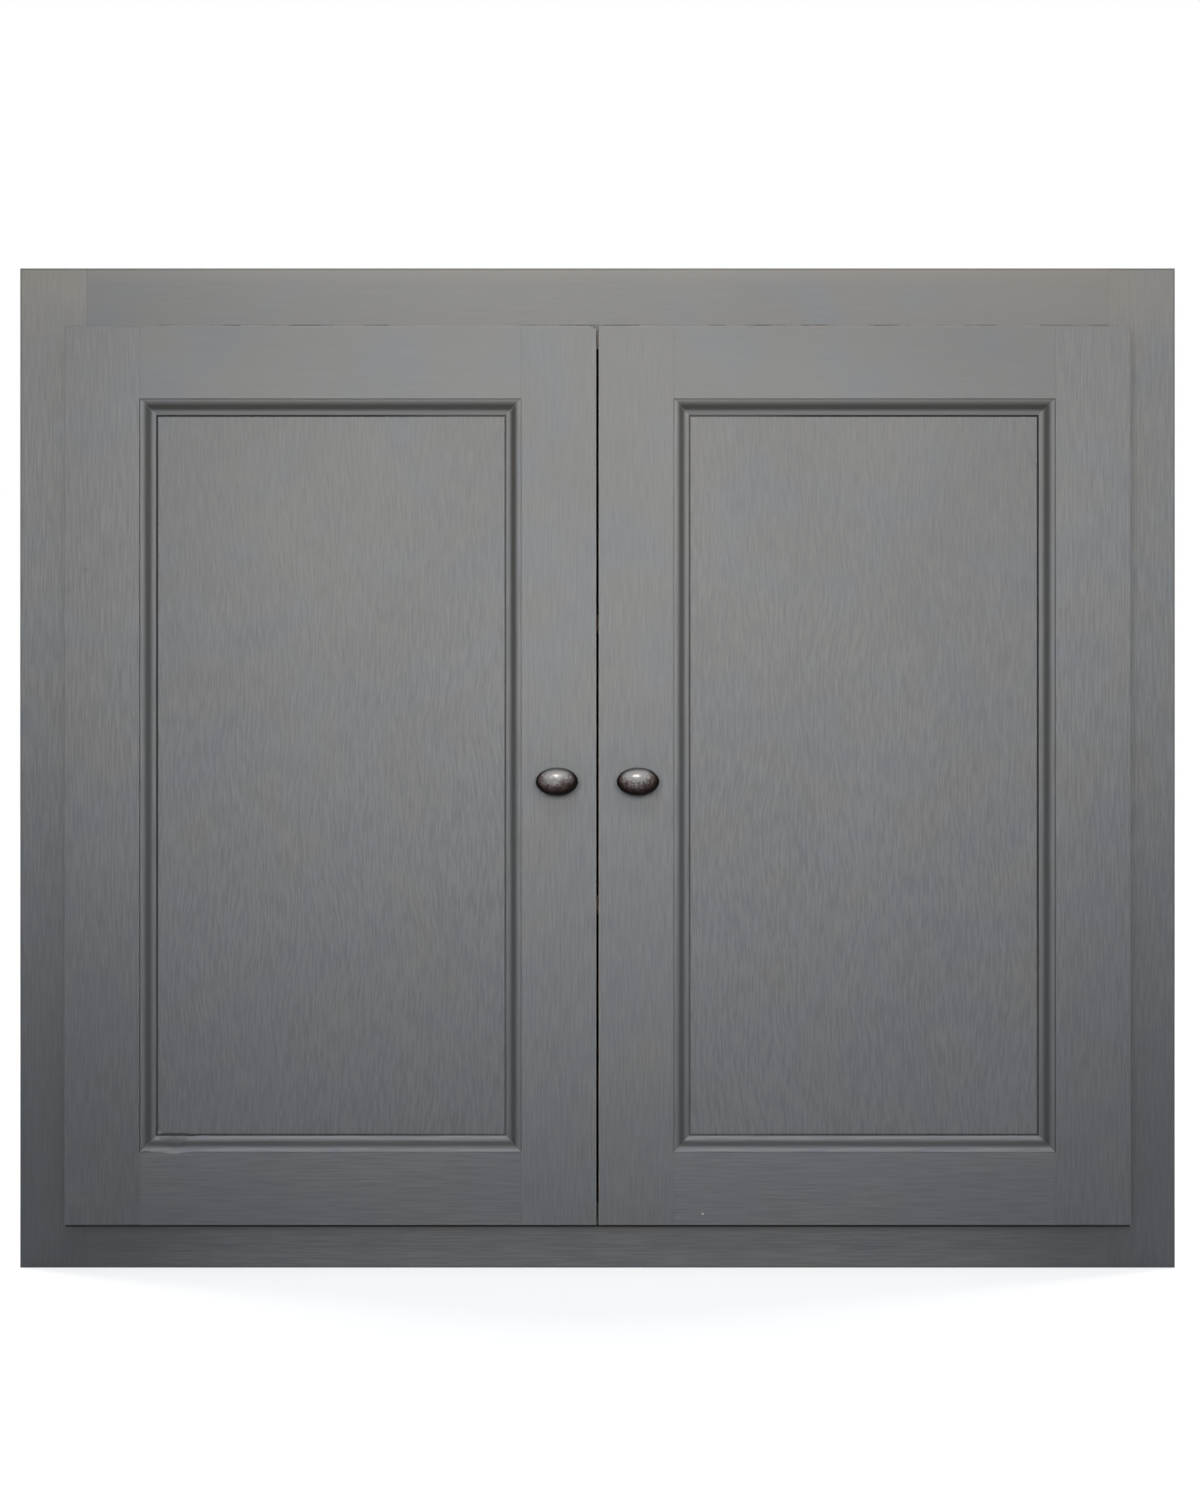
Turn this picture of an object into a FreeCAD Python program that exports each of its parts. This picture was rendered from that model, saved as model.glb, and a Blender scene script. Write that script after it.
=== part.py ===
import FreeCAD, Part
import math
import os

from FreeCAD import Vector

# Low cupboard with a face frame and two overlay doors. Each door is a mortised frame round
# a flat panel with a planted moulding. It hangs on two concealed cup hinges, is pulled by
# an oval knob and is held shut by a magnet. Two shelves sit on pegs inside.
# Millimetres, +Z up, the front towards -Y, the origin on the floor under the middle.
# Pieces of the left door are drawn where they lie, and the right ones are their mirror image.

# Carcass
cabinet_width = 1040.0
cabinet_height = 900.0
side_depth = 378.0
board = 18.0
back_thickness = 6.0
back_rebate_width = 9.0
housing_depth = 6.0
hanging_rail_height = 70.0
wall_hole_radius = 2.75
wall_hole_spacing = 600.0

# Face frame
frame_thickness = 22.0
frame_stile_width = 60.0
frame_top_rail_height = 73.0
frame_bottom_rail_height = 60.0

# Mortise and tenon joints of the face frame and the doors
tenon_thickness = 8.0
tenon_length = 30.0
tenon_shoulder = 10.0
tenon_play = 0.1
mortise_end_gap = 0.6
arris_radius = 1.2

# Dowels between the carcass and the face frame
dowel_radius = 4.0
dowel_play = 0.05
dowel_in_frame = 15.0
dowel_in_board = 20.0
dowel_end_gap = 0.4
dowel_first = 85.0
dowels_per_side = 5
dowels_per_rail = 5

# Shelves and their pegs
shelf_setback = 20.0
shelf_end_gap = 0.8
shelf_back_gap = 1.0
peg_hole_radius = 2.5
peg_hole_depth = 10.0
peg_hole_pitch = 32.0
peg_hole_first = 157.5
peg_hole_last_gap = 140.0
peg_column_inset = 50.0
peg_play = 0.05
peg_plate_length = 9.0
peg_plate_width = 9.0
peg_plate_height = 5.0
lower_shelf_share = 0.2
upper_shelf_share = 0.7

# Doors
door_thickness = 22.0
door_back_gap = 2.0
door_meeting_gap = 2.0
side_overlay = 16.0
rail_overlay = 18.0
door_stile_width = 67.0
door_rail_height = 65.0

# Door panels
panel_thickness = 6.0
panel_setback = 10.0
panel_play = 0.15
groove_depth = 9.0
panel_edge_gap = 0.8

# Planted mouldings: a lip, a hollow and a bead, from the door frame inwards
moulding_width = 14.6
moulding_joint = 0.4
moulding_height = 9.4
moulding_lip = 1.3
hollow_width = 7.0
hollow_sag = 1.4
valley_height = 3.3
bead_rise = 2.2
bead_end_height = 3.5
quirk_width = 0.8
quirk_height = 1.1

# Knobs
knob_length = 38.0
knob_height = 25.5
knob_projection = 27.0
knob_inset = 35.0
knob_level = 438.0
knob_base_radius = 8.5
knob_base_height = 1.6
knob_neck_radius = 5.6
knob_neck_waist = 0.8
knob_belly = 16.5
knob_underside = 7.0
knob_screw_radius = 2.0
knob_screw_play = 0.05
knob_screw_bore_play = 0.3
knob_screw_depth = 13.0
knob_screw_end_gap = 0.8
knob_screw_head_radius = 4.2
knob_screw_head_height = 2.4

# Hinge cups, measured from the door's outer edge and back face
hinge_end_distance = 100.0
cup_radius = 17.4
cup_play = 0.1
cup_edge_distance = 3.5
cup_depth = 12.6
cup_floor = 0.5
cup_wall = 0.9
cup_flange_thickness = 1.2
cup_flange_rim = 1.1
cup_ear_half_width = 6.5
cup_screw_spacing = 45.0
cup_screw_offset = 9.5
cup_pin_edge_distance = 10.0
cup_pin_depth = 2.8
cup_pin_hold = 3.0
cup_link_play = 0.5

# Hinge arms, measured from the frame's inner edge and the door's back face
arm_base_thickness = 2.5
arm_base_inset = 2.5
arm_base_half_height = 24.0
arm_screw_spacing = 32.0
arm_cheek_thickness = 2.5
arm_cheek_width = 8.0
arm_link_play = 0.4
arm_pin_reach = 15.0
arm_pin_setback = 6.0
arm_root_setback = 12.0

# Hinge links: a crank from the pin in the cup, along the cup's floor, to the pin in the arm
link_half_height = 5.5
link_thickness = 3.6
link_depth = 8.0
link_near_edge_distance = 11.5
link_far_edge_distance = 25.0
link_cup_eye_radius = 2.8
link_arm_eye_radius = 3.4
hinge_pin_radius = 1.5
hinge_pin_play = 0.05

# Catches, strike plates and bumpers
catch_inset = 27.0
catch_half_width = 14.0
catch_height = 13.0
catch_depth = 20.0
catch_front_gap = 1.0
catch_ear_width = 8.0
catch_ear_thickness = 4.0
magnet_half_width = 11.9
magnet_height = 8.8
magnet_depth = 15.0
magnet_play = 0.1
strike_half_width = 15.0
strike_height = 13.0
strike_thickness = 1.4
bumper_radius = 4.0
bumper_thickness = 1.5
bumper_inset = 18.0

# Countersunk wood screws
screw_radius = 1.5
screw_head_radius = 3.2
screw_head_height = 1.8
screw_tip_height = 3.0
screw_play = 0.05
screw_end_gap = 0.3
recess_width = 0.8
recess_span = 3.0
recess_depth = 1.0
back_screw_length = 16.0
arm_screw_length = 18.0
cup_screw_length = 14.0
strike_screw_length = 13.0
catch_screw_length = 16.0
back_screw_first = 60.0
back_screws_per_edge = 4

# Every cut runs this far past the faces that it opens
overrun = 5.0

# Places that follow from the sizes
half_width = cabinet_width / 2
inner_half_width = half_width - board
housing_half_width = inner_half_width + housing_depth
rebate_half_width = inner_half_width + back_rebate_width
frame_inner_x = half_width - frame_stile_width
total_depth = knob_projection + door_thickness + door_back_gap + frame_thickness + side_depth
back_y = total_depth / 2
back_front_y = back_y - back_thickness
frame_back_y = back_y - side_depth
frame_front_y = frame_back_y - frame_thickness
frame_middle_y = frame_front_y + frame_thickness / 2
door_back_y = frame_front_y - door_back_gap
door_front_y = door_back_y - door_thickness
panel_front_y = door_front_y + panel_setback
panel_back_y = panel_front_y + panel_thickness
panel_middle_y = panel_front_y + panel_thickness / 2
floor_top_z = frame_bottom_rail_height
floor_under_z = floor_top_z - board
top_under_z = cabinet_height - board
mouth_top_z = cabinet_height - frame_top_rail_height
door_outer_x = -(frame_inner_x + side_overlay)
door_meeting_x = -door_meeting_gap / 2
door_bottom_z = frame_bottom_rail_height - rail_overlay
door_top_z = mouth_top_z + rail_overlay
opening_left_x = door_outer_x + door_stile_width
opening_right_x = door_meeting_x - door_stile_width
opening_bottom_z = door_bottom_z + door_rail_height
opening_top_z = door_top_z - door_rail_height
knob_x = door_meeting_x - knob_inset
cup_x = door_outer_x + cup_edge_distance + cup_radius
hinge_levels = (door_bottom_z + hinge_end_distance, door_top_z - hinge_end_distance)
cup_pin = Vector(door_outer_x + cup_pin_edge_distance, door_back_y - cup_pin_depth, 0)
arm_pin = Vector(-frame_inner_x + arm_pin_reach, door_back_y + arm_pin_setback, 0)
catch_x = door_meeting_x - catch_inset
strike_level = mouth_top_z - catch_height / 2

backwards = Vector(0, 1, 0)
forwards = Vector(0, -1, 0)
upwards = Vector(0, 0, 1)
outwards_left = Vector(-1, 0, 0)


def box(x, y, z):
    """A block between two limits on each axis."""
    return Part.makeBox(x[1] - x[0], y[1] - y[0], z[1] - z[0], Vector(x[0], y[0], z[0]))


def bar(radius, start, direction, length):
    """A round bar."""
    return Part.makeCylinder(radius, length, start, direction)


def joined(shapes):
    """One solid from shapes that touch or overlap."""
    return shapes[0].multiFuse(shapes[1:]).removeSplitter()


def mirrored(shape):
    """The same piece on the other side of the cupboard."""
    return shape.mirror(Vector(0, 0, 0), Vector(1, 0, 0))


def spaced(first, last, count):
    """Even places from first to last."""
    step = (last - first) / (count - 1)
    return [first + step * index for index in range(count)]


def eased(shape, wanted):
    """Round the straight edges whose middle point is wanted."""
    edges = [edge for edge in shape.Edges if wanted(edge.CenterOfMass)]
    return shape.makeFillet(arris_radius, edges)


def near(value, target):
    """True where a coordinate lies on a plane."""
    return abs(value - target) < arris_radius / 2


def save(node, *shapes):
    """Write one node from one solid or from several separate ones."""
    shape = shapes[0] if len(shapes) == 1 else Part.makeCompound(shapes)
    shape.exportStep(os.path.join("parts", node + ".step"))


def wood_screw(seat, direction, length):
    """A countersunk cross-head screw whose head lies flush at its seat."""
    shank_length = length - screw_head_height - screw_tip_height
    head = Part.makeCone(screw_head_radius, screw_radius, screw_head_height)
    shank = bar(screw_radius, Vector(0, 0, screw_head_height), upwards, shank_length)
    tip = Part.makeCone(screw_radius, 0, screw_tip_height, Vector(0, 0, length - screw_tip_height))
    slot = box((-recess_span / 2, recess_span / 2), (-recess_width / 2, recess_width / 2),
               (-recess_depth, recess_depth))
    cross = slot.copy()
    cross.rotate(Vector(0, 0, 0), upwards, 90)
    screw = joined([head, shank, tip]).cut([slot, cross])
    screw.Placement = FreeCAD.Placement(seat, FreeCAD.Rotation(upwards, direction))
    return screw


def screw_hole(seat, direction, length):
    """The hole for a wood screw, with its countersink."""
    slope = (screw_head_radius - screw_radius) / screw_head_height
    mouth_radius = screw_head_radius + screw_play + slope * overrun
    mouth = Part.makeCone(mouth_radius, screw_radius + screw_play, screw_head_height + overrun,
                          Vector(0, 0, -overrun))
    shank = bar(screw_radius + screw_play, Vector(0, 0, 0), upwards, length + screw_end_gap)
    hole = joined([mouth, shank])
    hole.Placement = FreeCAD.Placement(seat, FreeCAD.Rotation(upwards, direction))
    return hole


def rounded_bar(start, end, width, low_z, high_z):
    """A flat bar with round ends, seen in plan from start to end."""
    run = end - start
    height = high_z - low_z
    body = Part.makeBox(run.Length, width, height, Vector(0, -width / 2, 0))
    body.rotate(Vector(0, 0, 0), upwards, math.degrees(math.atan2(run.y, run.x)))
    body.translate(start + Vector(0, 0, low_z))
    ends = [bar(width / 2, place + Vector(0, 0, low_z), upwards, height) for place in (start, end)]
    return joined([body] + ends)


def tenon(x, middle_y, rail_low_z, rail_high_z, low_shoulder, high_shoulder, play):
    """A tenon across the limits of x, or with play the mortise round it."""
    half = tenon_thickness / 2 + play
    low_z = rail_low_z + low_shoulder - play
    high_z = rail_high_z - high_shoulder + play
    return box(x, (middle_y - half, middle_y + half), (low_z, high_z))


# Places of the fastenings, shared by the pieces that they go through
side_dowel_x = -half_width + board / 2
side_dowel_levels = spaced(dowel_first, cabinet_height - dowel_first, dowels_per_side)
rail_dowel_places = spaced(-frame_inner_x + dowel_first, frame_inner_x - dowel_first, dowels_per_rail)
rail_dowel_levels = (floor_under_z + board / 2, top_under_z + board / 2)
peg_hole_run = top_under_z - peg_hole_last_gap - floor_top_z - peg_hole_first
peg_hole_rows = math.floor(peg_hole_run / peg_hole_pitch) + 1
peg_levels = [floor_top_z + peg_hole_first + peg_hole_pitch * row for row in range(peg_hole_rows)]
lower_shelf_row = round((peg_hole_rows - 1) * lower_shelf_share)
upper_shelf_row = round((peg_hole_rows - 1) * upper_shelf_share)
peg_columns = (frame_back_y + shelf_setback + peg_column_inset, back_front_y - peg_column_inset)
back_screw_x = inner_half_width + back_rebate_width / 2
back_screw_levels = spaced(floor_top_z + back_screw_first, top_under_z - back_screw_first,
                           back_screws_per_edge)
back_screw_places = spaced(-inner_half_width + back_screw_first, inner_half_width - back_screw_first,
                           back_screws_per_edge)


def dowel_hole(x, z):
    """The hole for one dowel through the joint behind the face frame."""
    start = Vector(x, frame_back_y - dowel_in_frame - dowel_end_gap, z)
    length = dowel_in_frame + dowel_in_board + dowel_end_gap * 2
    return bar(dowel_radius + dowel_play, start, backwards, length)


def dowel(x, z):
    """One dowel, half in the frame and half in the board behind it."""
    start = Vector(x, frame_back_y - dowel_in_frame, z)
    return bar(dowel_radius, start, backwards, dowel_in_frame + dowel_in_board)


def side_back_screw(maker, x, z):
    """A back panel screw, or its hole, driven forwards from the outside."""
    return maker(Vector(x, back_y, z), forwards, back_screw_length)


def left_side_panel():
    """Side board, housed for the floor and top and rebated for the back."""
    side = box((-half_width, -inner_half_width), (frame_back_y, back_y), (0, cabinet_height))
    side = eased(side, lambda p: near(p.x, -half_width) and near(p.y, back_y))
    cuts = []
    for low_z, high_z in ((floor_under_z, floor_top_z), (top_under_z, cabinet_height + overrun)):
        cuts.append(box((-housing_half_width, -inner_half_width + overrun),
                        (frame_back_y - overrun, back_front_y), (low_z, high_z)))
    cuts.append(box((-rebate_half_width, -inner_half_width + overrun),
                    (back_front_y, back_y + overrun), (floor_under_z, cabinet_height + overrun)))
    for y in peg_columns:
        for z in peg_levels:
            mouth = Vector(-inner_half_width + overrun, y, z)
            cuts.append(bar(peg_hole_radius, mouth, outwards_left, peg_hole_depth + overrun))
    cuts += [dowel_hole(side_dowel_x, z) for z in side_dowel_levels]
    cuts += [side_back_screw(screw_hole, -back_screw_x, z) for z in back_screw_levels]
    return side.cut(cuts)


def floor_or_top(low_z):
    """A horizontal carcass board, held in the housings of both sides."""
    panel = box((-housing_half_width, housing_half_width), (frame_back_y, back_front_y),
                (low_z, low_z + board))
    level = low_z + board / 2
    cuts = [dowel_hole(x, level) for x in rail_dowel_places]
    cuts += [side_back_screw(screw_hole, x, level) for x in back_screw_places]
    return panel.cut(cuts)


def wall_holes():
    """Holes for wall screws through the back panel and the hanging rail."""
    level = top_under_z - hanging_rail_height / 2
    length = board + back_thickness + overrun * 2
    starts = [Vector(x, back_y + overrun, level) for x in (-wall_hole_spacing / 2, wall_hole_spacing / 2)]
    return [bar(wall_hole_radius, start, forwards, length) for start in starts]


def back_panel():
    """Thin back, screwed into the rebates and onto the floor and top."""
    panel = box((-rebate_half_width, rebate_half_width), (back_front_y, back_y),
                (floor_under_z, cabinet_height))
    cuts = wall_holes()
    for z in back_screw_levels:
        cuts += [side_back_screw(screw_hole, x, z) for x in (-back_screw_x, back_screw_x)]
    for z in rail_dowel_levels:
        cuts += [side_back_screw(screw_hole, x, z) for x in back_screw_places]
    return panel.cut(cuts)


def back_panel_screws():
    """Screws all round the back panel."""
    screws = []
    for z in back_screw_levels:
        screws += [side_back_screw(wood_screw, x, z) for x in (-back_screw_x, back_screw_x)]
    for z in rail_dowel_levels:
        screws += [side_back_screw(wood_screw, x, z) for x in back_screw_places]
    return screws


def hanging_rail():
    """Rail under the top at the back, through which the cupboard is fixed to a wall."""
    rail = box((-inner_half_width, inner_half_width), (back_front_y - board, back_front_y),
               (top_under_z - hanging_rail_height, top_under_z))
    return rail.cut(wall_holes())


def rear_plinth_rail():
    """Rail under the back edge of the floor."""
    return box((-inner_half_width, inner_half_width), (back_y - board, back_y), (0, floor_under_z))


def shelf(row):
    """Loose shelf that lies on four pegs."""
    low_z = peg_levels[row] + peg_plate_height / 2
    half = inner_half_width - shelf_end_gap
    board_box = box((-half, half), (frame_back_y + shelf_setback, back_front_y - shelf_back_gap),
                    (low_z, low_z + board))
    return eased(board_box, lambda p: near(p.y, frame_back_y + shelf_setback) and near(p.x, 0))


def left_peg(y, z):
    """Peg with a flat plate that carries a shelf."""
    shank_start = Vector(-inner_half_width, y, z)
    shank = bar(peg_hole_radius - peg_play, shank_start, outwards_left, peg_hole_depth - peg_play)
    plate = box((-inner_half_width, -inner_half_width + peg_plate_length),
                (y - peg_plate_width / 2, y + peg_plate_width / 2),
                (z - peg_plate_height / 2, z + peg_plate_height / 2))
    return joined([shank, plate])


def shelf_pegs():
    """Four pegs under each shelf."""
    left = [left_peg(y, peg_levels[row]) for row in (lower_shelf_row, upper_shelf_row)
            for y in peg_columns]
    return left + [mirrored(peg) for peg in left]


def left_frame_stile():
    """Upright of the face frame, with mortises, dowel holes and hinge screw holes."""
    stile = box((-half_width, -frame_inner_x), (frame_front_y, frame_back_y), (0, cabinet_height))
    stile = eased(stile, lambda p: near(p.y, frame_front_y) and not near(p.x, -frame_inner_x))
    depth = tenon_length + mortise_end_gap
    mortise_x = (-frame_inner_x - depth, -frame_inner_x + overrun)
    cuts = []
    for low_z, high_z in ((0, frame_bottom_rail_height), (mouth_top_z, cabinet_height)):
        cuts.append(tenon(mortise_x, frame_middle_y, low_z, high_z, tenon_shoulder,
                          tenon_shoulder, tenon_play))
    cuts += [dowel_hole(side_dowel_x, z) for z in side_dowel_levels]
    cuts += left_arm_screws(screw_hole)
    return stile.cut(cuts)


def frame_rail(low_z, high_z, outer_z):
    """Rail of the face frame with a tenon at each end and dowel holes behind."""
    rail = box((-frame_inner_x, frame_inner_x), (frame_front_y, frame_back_y), (low_z, high_z))
    rail = eased(rail, lambda p: near(p.y, frame_front_y) and near(p.z, outer_z))
    reach = frame_inner_x + tenon_length
    tongue = tenon((-reach, reach), frame_middle_y, low_z, high_z, tenon_shoulder,
                   tenon_shoulder, 0)
    rail = joined([rail, tongue])
    level = rail_dowel_levels[0] if outer_z == 0 else rail_dowel_levels[1]
    cuts = [dowel_hole(x, level) for x in rail_dowel_places]
    return rail.cut(cuts)


def frame_top_rail():
    """Top rail, drilled from below for the catches."""
    rail = frame_rail(mouth_top_z, cabinet_height, cabinet_height)
    left = left_catch_screws(screw_hole)
    return rail.cut(left + [mirrored(hole) for hole in left])


def frame_dowels():
    """All dowels that hold the face frame on the carcass."""
    left = [dowel(side_dowel_x, z) for z in side_dowel_levels]
    middle = [dowel(x, z) for z in rail_dowel_levels for x in rail_dowel_places]
    return left + [mirrored(piece) for piece in left] + middle


def panel_groove_box(x, z):
    """The groove that holds the panel's edge, between two limits in x and z."""
    return box(x, (panel_front_y - panel_play, panel_back_y + panel_play), z)


def door_stile(outer_x, opening_x):
    """Upright of a door, mortised for both rails and grooved for the panel."""
    low_x = min(outer_x, opening_x)
    high_x = max(outer_x, opening_x)
    inwards = math.copysign(1, opening_x - outer_x)
    stile = box((low_x, high_x), (door_front_y, door_back_y), (door_bottom_z, door_top_z))
    stile = eased(stile, lambda p: not near(p.x, opening_x) and
                  (near(p.y, door_front_y) or near(p.y, door_back_y)))
    mortise_end_x = opening_x - inwards * (tenon_length + mortise_end_gap)
    groove_end_x = opening_x - inwards * groove_depth
    open_x = opening_x + inwards * overrun
    mortise_x = sorted((mortise_end_x, open_x))
    cuts = [tenon(mortise_x, panel_middle_y, door_bottom_z, opening_bottom_z, tenon_shoulder,
                  groove_depth, tenon_play)]
    cuts.append(tenon(mortise_x, panel_middle_y, opening_top_z, door_top_z, groove_depth,
                      tenon_shoulder, tenon_play))
    groove_z = (opening_bottom_z - groove_depth, opening_top_z + groove_depth)
    cuts.append(panel_groove_box(sorted((groove_end_x, open_x)), groove_z))
    return stile.cut(cuts)


def left_hinge_stile():
    """Outer upright of the left door, bored for the hinge cups."""
    stile = door_stile(door_outer_x, opening_left_x)
    cuts = [bar(cup_radius + cup_play, Vector(cup_x, door_back_y + overrun, z), forwards,
                cup_depth + cup_play + overrun) for z in hinge_levels]
    return stile.cut(cuts + left_cup_screws(screw_hole))


def left_meeting_stile():
    """Inner upright of the left door, drilled for the knob and the strike plate."""
    stile = door_stile(door_meeting_x, opening_right_x)
    bore = bar(knob_screw_radius + knob_screw_bore_play, Vector(knob_x, door_front_y - overrun, knob_level),
               backwards, door_thickness + overrun * 2)
    return stile.cut([bore, left_strike_screw(screw_hole)])


def door_rail(low_z, high_z, low_shoulder, high_shoulder):
    """Cross rail of a door, with a tenon at each end and a groove along its inner edge."""
    outer_z = low_z if low_shoulder == tenon_shoulder else high_z
    rail = box((opening_left_x, opening_right_x), (door_front_y, door_back_y), (low_z, high_z))
    rail = eased(rail, lambda p: near(p.z, outer_z) and
                 (near(p.y, door_front_y) or near(p.y, door_back_y)))
    tongue = tenon((opening_left_x - tenon_length, opening_right_x + tenon_length), panel_middle_y,
                   low_z, high_z, low_shoulder, high_shoulder, 0)
    rail = joined([rail, tongue])
    groove_x = (opening_left_x - tenon_length - overrun, opening_right_x + tenon_length + overrun)
    if outer_z == low_z:
        return rail.cut(panel_groove_box(groove_x, (high_z - groove_depth, high_z + overrun)))
    return rail.cut(panel_groove_box(groove_x, (low_z - overrun, low_z + groove_depth)))


def door_panel():
    """Flat panel, loose in its grooves."""
    held = groove_depth - panel_edge_gap
    return box((opening_left_x - held, opening_right_x + held), (panel_front_y, panel_back_y),
               (opening_bottom_z - held, opening_top_z + held))


def moulding_section():
    """Section of the moulding: the first number runs inwards, the second out of the panel."""
    valley = moulding_joint + moulding_lip + hollow_width
    end = moulding_joint + moulding_width
    lip_end = moulding_joint + moulding_lip
    drop = moulding_height - valley_height
    chord = math.hypot(hollow_width, drop)
    hollow_middle = ((lip_end + valley) / 2 - hollow_sag * drop / chord,
                     (moulding_height + valley_height) / 2 - hollow_sag * hollow_width / chord)
    bead_middle = ((valley + end) / 2, (valley_height + bead_end_height) / 2 + bead_rise)
    corners = {"back": (moulding_joint, 0), "lip": (moulding_joint, moulding_height),
               "lip_end": (lip_end, moulding_height), "valley": (valley, valley_height),
               "bead_end": (end, bead_end_height), "quirk_top": (end, quirk_height),
               "quirk_foot": (end - quirk_width, 0)}
    return corners, hollow_middle, bead_middle


def moulding(start, along, inwards):
    """One side of the moulded border, mitred at both ends to meet its neighbours."""
    length = (along[1] - along[0]).Length
    direction = (along[1] - along[0]).normalize()
    corners, hollow_middle, bead_middle = moulding_section()

    def place(pair):
        return start + inwards * pair[0] + forwards * pair[1]

    spots = {name: place(pair) for name, pair in corners.items()}
    edges = [Part.LineSegment(spots["back"], spots["lip"]).toShape(),
             Part.LineSegment(spots["lip"], spots["lip_end"]).toShape(),
             Part.Arc(spots["lip_end"], place(hollow_middle), spots["valley"]).toShape(),
             Part.Arc(spots["valley"], place(bead_middle), spots["bead_end"]).toShape(),
             Part.LineSegment(spots["bead_end"], spots["quirk_top"]).toShape(),
             Part.LineSegment(spots["quirk_top"], spots["quirk_foot"]).toShape(),
             Part.LineSegment(spots["quirk_foot"], spots["back"]).toShape()]
    section = Part.Face(Part.Wire(edges))
    strip = section.extrude(direction * length)
    reach = moulding_joint + moulding_width + overrun
    wedges = []
    for corner, way in ((start, direction), (start + direction * length, -direction)):
        outline = [corner, corner - way * overrun, corner - way * overrun + inwards * reach,
                   corner + way * reach + inwards * reach, corner]
        base = [point + backwards * overrun for point in outline]
        wedge = Part.Face(Part.makePolygon(base))
        wedges.append(wedge.extrude(forwards * (moulding_height + overrun * 2)))
    return strip.cut(wedges)


def door_mouldings():
    """The four mouldings round the left door's panel, by name."""
    left_low = Vector(opening_left_x, panel_front_y, opening_bottom_z)
    left_high = Vector(opening_left_x, panel_front_y, opening_top_z)
    right_low = Vector(opening_right_x, panel_front_y, opening_bottom_z)
    right_high = Vector(opening_right_x, panel_front_y, opening_top_z)
    rightwards = Vector(1, 0, 0)
    return {"moulding_bottom": moulding(left_low, (left_low, right_low), upwards),
            "moulding_top": moulding(left_high, (left_high, right_high), -upwards),
            "moulding_outer": moulding(left_low, (left_low, left_high), rightwards),
            "moulding_inner": moulding(right_low, (right_low, right_high), outwards_left)}


def left_knob():
    """Oval knob: a foot, a waisted neck and an egg-shaped head."""
    def spot(radius, out):
        return Vector(radius, -out, 0)

    head_radius = knob_length / 2
    dome = Part.Ellipse(spot(0, knob_belly), head_radius, knob_projection - knob_belly)
    underside = Part.Ellipse(spot(0, knob_belly), head_radius, knob_underside)
    turn = math.acos(knob_neck_radius / head_radius)
    neck_height = knob_belly - knob_underside * math.sin(turn)
    edges = [Part.LineSegment(spot(0, 0), spot(knob_base_radius, 0)).toShape(),
             Part.LineSegment(spot(knob_base_radius, 0),
                              spot(knob_base_radius, knob_base_height)).toShape(),
             Part.Arc(spot(knob_base_radius, knob_base_height),
                      spot(knob_neck_radius - knob_neck_waist, (knob_base_height + neck_height) / 2),
                      spot(knob_neck_radius, neck_height)).toShape(),
             Part.ArcOfEllipse(underside, 0, turn).toShape(),
             Part.ArcOfEllipse(dome, -math.pi / 2, 0).toShape(),
             Part.LineSegment(spot(0, knob_projection), spot(0, 0)).toShape()]
    turned = Part.Face(Part.Wire(edges)).revolve(Vector(0, 0, 0), backwards, 360)
    squash = FreeCAD.Matrix()
    squash.scale(1, 1, knob_height / knob_length)
    oval = turned.transformGeometry(squash)
    oval.translate(Vector(knob_x, door_front_y, knob_level))
    bore = bar(knob_screw_radius + knob_screw_play,
               Vector(knob_x, door_front_y + overrun, knob_level), forwards,
               knob_screw_depth + knob_screw_end_gap + overrun)
    return oval.cut(bore)


def left_knob_screw():
    """Machine screw from the back of the door into the knob."""
    length = door_thickness + knob_screw_depth
    seat = Vector(knob_x, door_back_y, knob_level)
    shank = bar(knob_screw_radius, seat, forwards, length)
    head = bar(knob_screw_head_radius, seat, backwards, knob_screw_head_height)
    slots = []
    half_span = recess_span / 2 + recess_width
    for half_x, half_z in ((half_span, recess_width), (recess_width, half_span)):
        slots.append(box((seat.x - half_x, seat.x + half_x),
                         (seat.y + knob_screw_head_height - recess_depth,
                          seat.y + knob_screw_head_height + overrun),
                         (seat.z - half_z, seat.z + half_z)))
    return joined([shank, head]).cut(slots)


def left_cup_screws(maker):
    """Two wood screws, or their holes, through the flange of each left cup."""
    x = cup_x + cup_screw_offset
    seat_y = door_back_y + cup_flange_thickness
    return [maker(Vector(x, seat_y, z + side * cup_screw_spacing / 2), forwards, cup_screw_length)
            for z in hinge_levels for side in (-1, 1)]


def left_cup(z):
    """Hinge cup with its flange and ears, and a well in which the link swings."""
    low_y = door_back_y - cup_depth
    flange_y = (door_back_y, door_back_y + cup_flange_thickness)
    drum = bar(cup_radius, Vector(cup_x, low_y, z), backwards, cup_depth)
    rim = bar(cup_radius + cup_flange_rim, Vector(cup_x, door_back_y, z), backwards,
              cup_flange_thickness)
    ear_x = cup_x + cup_screw_offset
    half_ear = cup_screw_spacing / 2 + cup_ear_half_width
    ear = box((ear_x - cup_ear_half_width, ear_x + cup_ear_half_width), flange_y,
              (z - half_ear, z + half_ear))
    well_half_height = link_half_height + cup_link_play
    inner_radius = cup_radius - cup_wall
    well_half_length = math.sqrt(inner_radius ** 2 - well_half_height ** 2)
    well = box((cup_x - well_half_length, cup_x + well_half_length),
               (low_y + cup_floor, door_back_y + overrun),
               (z - well_half_height, z + well_half_height))
    half_pin = well_half_height + cup_pin_hold
    pin_hole = bar(hinge_pin_radius + hinge_pin_play, cup_pin + Vector(0, 0, z - half_pin), upwards,
                   half_pin * 2)
    return joined([drum, rim, ear]).cut([well, pin_hole] + left_cup_screws(screw_hole))


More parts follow.
